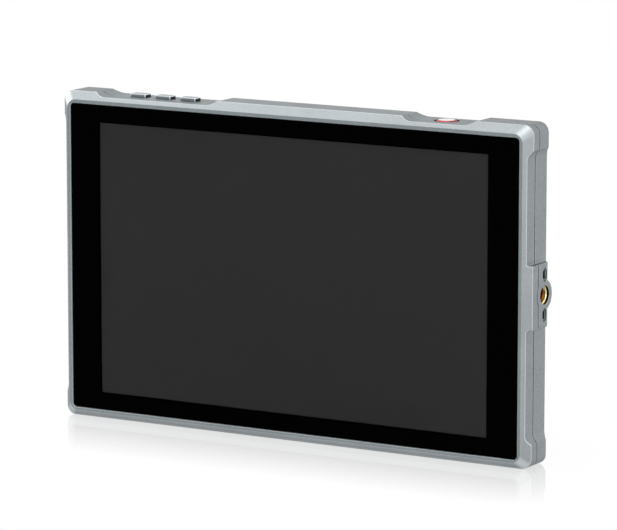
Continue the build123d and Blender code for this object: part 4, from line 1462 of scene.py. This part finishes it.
@dataclass
class PowerButton(SubAssembly):
    """The round power button, with a red ring round its turned face."""

    face_colour: Colour = (0.82, 0.78, 0.74)
    # The ring's edges carry a weaker painted highlight, and its grooves painted shade.
    ring: BlastedMetal = BlastedMetal(
        "ring_red", (0.4, 0.075, 0.08), roughness=(0.25, 0.35), grain=0.1 * MM, highlight_gain=1.2
    )

    def build(self, workshop: Workshop) -> None:
        """Dress the button, its ring and its switch.

        Args:
            workshop: What dresses and seats them.
        """
        centre = tuple(NodeBox.of("power_button").middle)
        face = TurnedMetal("button_metal", self.face_colour, centre, Axis.Z)
        workshop.dress(face, "power_button")
        workshop.dress(self.ring, "power_ring")
        workshop.dress(WHITE_PLASTIC, "power_plunger")
        workshop.dress(BLACK_PLASTIC, "power_switch")


@dataclass
class BatteryMount(SubAssembly):
    """The battery plate on the back, its contacts and its latch."""

    plastic: MouldedPlastic = MouldedPlastic(
        "battery_plastic",
        (0.02, 0.02, 0.021),
        roughness=(0.49, 0.61),
        texture=0.3 * MM,
        texture_depth=0.03 * MM,
    )
    latch: MouldedPlastic = MouldedPlastic(
        "latch_plastic", (0.05, 0.05, 0.053), roughness=(0.3, 0.42)
    )
    spring: BrushedMetal = BrushedMetal("spring_steel", (0.5, 0.5, 0.52), Axis.Y, length=1.0)
    blade_edge: float = 0.14 * MM
    blade_pitch: float = 5.5 * MM
    blade_width: float = 1.9 * MM
    latch_flange: float = 1.3 * MM
    latch_flat: float = 3.2 * MM
    latch_drop: float = 1.6 * MM
    grip_count: int = 4
    grip_width: float = 9.0 * MM
    grip_radius: float = 0.3 * MM
    grip_end: tuple[Span, ...] = ((0.0, 0.4), (0.3, 0.8), (1.0, 1.0))
    grip_steps: int = 14
    latch_joint: str = "battery_latch_press"
    latch_travel: float = 1.8 * MM
    coil_wire: float = 0.2 * MM
    coil_turns: int = 5
    coil_closed: float = 0.5
    coil_steps: int = 24
    coil_sides: int = 8

    def coil(self) -> Shape:
        """Wind the spring under the latch, whose end turns are closed.

        Returns:
            The shape that holds it.
        """
        box = NodeBox.of("latch_spring")
        foot = Vector((box.middle.x, box.low.y + self.coil_wire, box.middle.z))
        bend = box.size.x / 2 - self.coil_wire
        upward = Axis.Y.vector()
        rise = upward * (box.size.y - 2 * self.coil_wire)
        rings = []
        for step in range(self.coil_turns * self.coil_steps + 1):
            turns = step / self.coil_steps
            climb = (turns - self.coil_closed) / (self.coil_turns - 2 * self.coil_closed)
            outward = Vector((math.cos(math.tau * turns), 0.0, math.sin(math.tau * turns)))
            centre = foot + outward * bend + rise * min(max(climb, 0.0), 1.0)
            arms = (outward * self.coil_wire, upward * self.coil_wire)
            rings.append(circle(centre, *arms, self.coil_sides))
        shape = Shape()
        shape.skin(rings)
        return shape

    def blades(self) -> Shape:
        """Make the three gold blades, with rounded ends.

        Returns:
            The shape that holds them.
        """
        box = NodeBox.of("contact_blades")
        shape = Shape()
        for place in (-1, 0, 1):
            x = box.middle.x + place * self.blade_pitch
            low = (x - self.blade_width / 2, box.low.y, box.low.z)
            high = (x + self.blade_width / 2, box.high.y, box.high.z)
            shape.rounded_box(low, high, self.blade_edge, steps=3)
        return shape

    def grips(self) -> Shape:
        """Make the ridges that a thumb catches on the slope of the latch.

        Returns:
            The shape that holds them.
        """
        box = NodeBox.of("battery_latch")
        top = Vector((box.middle.x, box.high.y, box.low.z + self.latch_flange + self.latch_flat))
        foot = Vector((box.middle.x, box.high.y - self.latch_drop, box.high.z - self.latch_flange))
        radius, half = self.grip_radius, self.grip_width / 2
        profile = [(inset * radius - half, share * radius) for inset, share in self.grip_end]
        profile += [(-offset, reach) for offset, reach in profile[::-1]]
        x, y, z = [axis.vector() for axis in Axis]
        shape = Shape()
        for index in range(self.grip_count):
            centre = top.lerp(foot, (index + 0.5) / self.grip_count)
            ends = [(centre + x * offset, y * reach, z * reach) for offset, reach in profile]
            shape.skin([circle(*end, self.grip_steps) for end in ends])
        return shape

    def build(self, workshop: Workshop) -> None:
        """Dress the plate and the latch, and add the spring, the blades and the ridges.

        Args:
            workshop: What dresses and seats them.
        """
        workshop.dress(self.plastic, "battery_plate", "contact_block")
        workshop.dress(SCREW_BLACK, "battery_plate_screws")
        workshop.dress(self.latch, "battery_latch")
        coil = self.coil().done("latch_coil")
        workshop.seat(coil, self.spring, replaces=("latch_spring",))
        foot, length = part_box("latch_spring")[0], NodeBox.of("latch_spring").size.y
        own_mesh(coil)
        blades = self.blades().done("battery_blades")
        workshop.seat(blades, GOLD, replaces=("contact_blades",))
        workshop.seat(self.grips().done("latch_grips"), self.latch, Body.BATTERY_LATCH)


# ---- Studio -------------------------------------------------------------------------


@dataclass(frozen=True)
class Viewpoint:
    """Where the camera stands, and what it looks at."""

    place: Place = (0.70939, -1.20756, 0.29858)
    target: Place = (0.00807, -0.01245, 0.061467)
    lens: float = 244.76
    sensor: float = 36.0

    def set_up(self) -> None:
        """Make the camera and give it to the scene."""
        data = bpy.data.cameras.new("studio_camera")
        data.lens = self.lens
        data.sensor_width = self.sensor
        camera = add_object("studio_camera", data)
        aim(camera, Vector(self.place), Vector(self.target))
        bpy.context.scene.camera = camera


@dataclass(frozen=True)
class Softbox:
    """A soft square lamp that faces the monitor.

    Its bearing is counted from the front towards the right side, and its rise from the floor.
    """

    name: str
    bearing: float
    rise: float
    power: float
    size: float = 0.6
    distance: float = 0.8

    def hang(self, target: Vector) -> None:
        """Hang the lamp.

        Args:
            target: What it faces.
        """
        data = bpy.data.lights.new(self.name, type="AREA")
        data.energy = self.power
        data.size = self.size
        lamp = add_object(self.name, data)
        lamp.visible_camera = False
        bearing, rise = math.radians(self.bearing), math.radians(self.rise)
        flat = math.cos(rise)
        direction = Vector((math.sin(bearing) * flat, -math.cos(bearing) * flat, math.sin(rise)))
        aim(lamp, target + direction * self.distance, target)


@dataclass(frozen=True)
class StudioFloor(Finish):
    """A white floor that mirrors the monitor faintly where it stands.

    It is clear under the flat base and from below, so that the base shows.
    """

    part: Window
    base: Window
    albedo: float = 0.8
    mirror_most: float = 0.31
    mirror_reach: float = 48 * MM
    shadow_share: float = 0.11
    shadow_reach: float = 52 * MM

    def draw(self, graph: Graph) -> None:
        """Add the nodes of this finish to a tree.

        Args:
            graph: The tree.
        """
        flat = graph.split(graph.place())[:2]
        reaches = [graph.beyond(*side) for side in zip(flat, self.part)]
        outside = [graph.most(reach, 0.0) for reach in reaches]
        squares = [graph.calculate("MULTIPLY", reach, reach) for reach in outside]
        distance = graph.calculate("SQRT", graph.calculate("ADD", *squares))
        rays = graph.node("ShaderNodeLightPath").outputs
        mirror = graph.spread(distance, (0.0, self.mirror_reach), (self.mirror_most, 0.0))
        mirror = graph.calculate("MULTIPLY", mirror, rays["Is Camera Ray"])
        shadow = graph.spread(distance, (0.0, self.shadow_reach), (self.shadow_share, 0.0))
        white = graph.node("ShaderNodeEmission", {"Color": WHITE, "Strength": 1.0}).outputs[0]
        matt = graph.node("ShaderNodeBsdfDiffuse", {"Color": (self.albedo,) * 3}).outputs[0]
        gloss = graph.node("ShaderNodeBsdfGlossy", {"Color": WHITE, "Roughness": 0.0}).outputs[0]
        clear = graph.node("ShaderNodeBsdfTransparent", {"Color": WHITE}).outputs[0]
        seen = graph.mix(mirror, graph.mix(shadow, white, matt), gloss)
        kinds = ("Is Camera Ray", "Is Glossy Ray", "Is Transmission Ray")
        looks = graph.most(*[rays[kind] for kind in kinds])
        past_base = [graph.beyond(*side) for side in zip(flat, self.base)]
        hidden = graph.calculate("LESS_THAN", graph.most(*past_base), 0.0)
        below = graph.node("ShaderNodeNewGeometry").outputs["Backfacing"]
        shown = graph.mix(looks, matt, seen)
        graph.output(graph.mix(graph.most(hidden, below), shown, clear))


@dataclass
class Studio:
    """A white floor and backdrop, soft lamps and the camera."""

    camera: Viewpoint = Viewpoint()
    lamps: tuple[Softbox, ...] = (
        Softbox("overhead_softbox", 20.0, 65.0, 1.6),
        Softbox("left_softbox", 270.0, 38.0, 0.9),
        Softbox("low_left_softbox", 270.0, 12.0, 1.2, size=0.42),
        Softbox("high_left_softbox", 270.0, 65.0, 0.5),
        Softbox("back_left_softbox", 225.0, 38.0, 0.18),
        Softbox("low_right_softbox", 75.0, 12.0, 0.65, size=0.42),
    )
    lamp_target: Place = (0.0, 0.0, 0.057)
    world_level: float = 1.0
    floor_half: float = 3.0
    floor_drop: float = 0.02 * MM
    base_side_inset: float = 6 * MM
    base_front_inset: float = 2.9 * MM
    base_back_inset: float = 5.4 * MM

    def build(self) -> None:
        """Make the world, the floor, the lamps and the camera."""
        self.light_world()
        self.lay_floor()
        for lamp in self.lamps:
            lamp.hang(Vector(self.lamp_target))
        self.camera.set_up()
        bpy.context.scene.view_settings.view_transform = "Standard"

    def light_world(self) -> None:
        """Make a plain white backdrop, which lights the part plainly from all round."""
        world = bpy.data.worlds.new("white_studio")
        bpy.context.scene.world = world
        graph = Graph(world)
        values = {"Color": WHITE, "Strength": self.world_level}
        backdrop = graph.node("ShaderNodeBackground", values).outputs["Background"]
        graph.output(backdrop, "ShaderNodeOutputWorld")

    def lay_floor(self) -> None:
        """Lay the floor, and tell it where the monitor stands."""
        low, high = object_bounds()
        part = ((low.x, high.x), (low.y, high.y))
        side = high.x - self.base_side_inset
        back = NodeBox.of("rear_shell").high.y - self.base_back_inset
        base = ((-side, side), (low.y + self.base_front_inset, back))
        half = self.floor_half
        corners = ((-half, -half), (half, -half), (half, half), (-half, half))
        shape = Shape()
        verts = [shape.mesh.verts.new((*corner, -self.floor_drop)) for corner in corners]
        shape.mesh.faces.new(verts)
        floor = shape.done("studio_floor")
        floor.data.materials.append(StudioFloor("studio_floor", part, base).make())
        floor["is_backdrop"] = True


# ---- The whole scene ----------------------------------------------------------------


def clear_scene() -> None:
    """Take away whatever the empty file holds."""
    for thing in list(bpy.data.objects):
        bpy.data.objects.remove(thing)


def main() -> None:
    """Build the monitor piece by piece and set up the studio."""
    logging.basicConfig(level=logging.INFO, format="%(name)s: %(message)s")
    clear_scene()
    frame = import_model()
    workshop = Workshop(frame)
    groups: list[SubAssembly] = [
        Case(),
        Screen(),
        Electronics(),
        Sockets(),
        CameraMount("side_mount_insert", Vector((-1.0, 0.0, 0.0))),
        CameraMount("base_mount_insert", Vector((0.0, 0.0, 1.0))),
        Keys(),
        PowerButton(),
        BatteryMount(),
    ]
    for group in groups:
        group.build(workshop)
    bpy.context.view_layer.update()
    Studio().build()


if __name__ == "__main__":
    main()
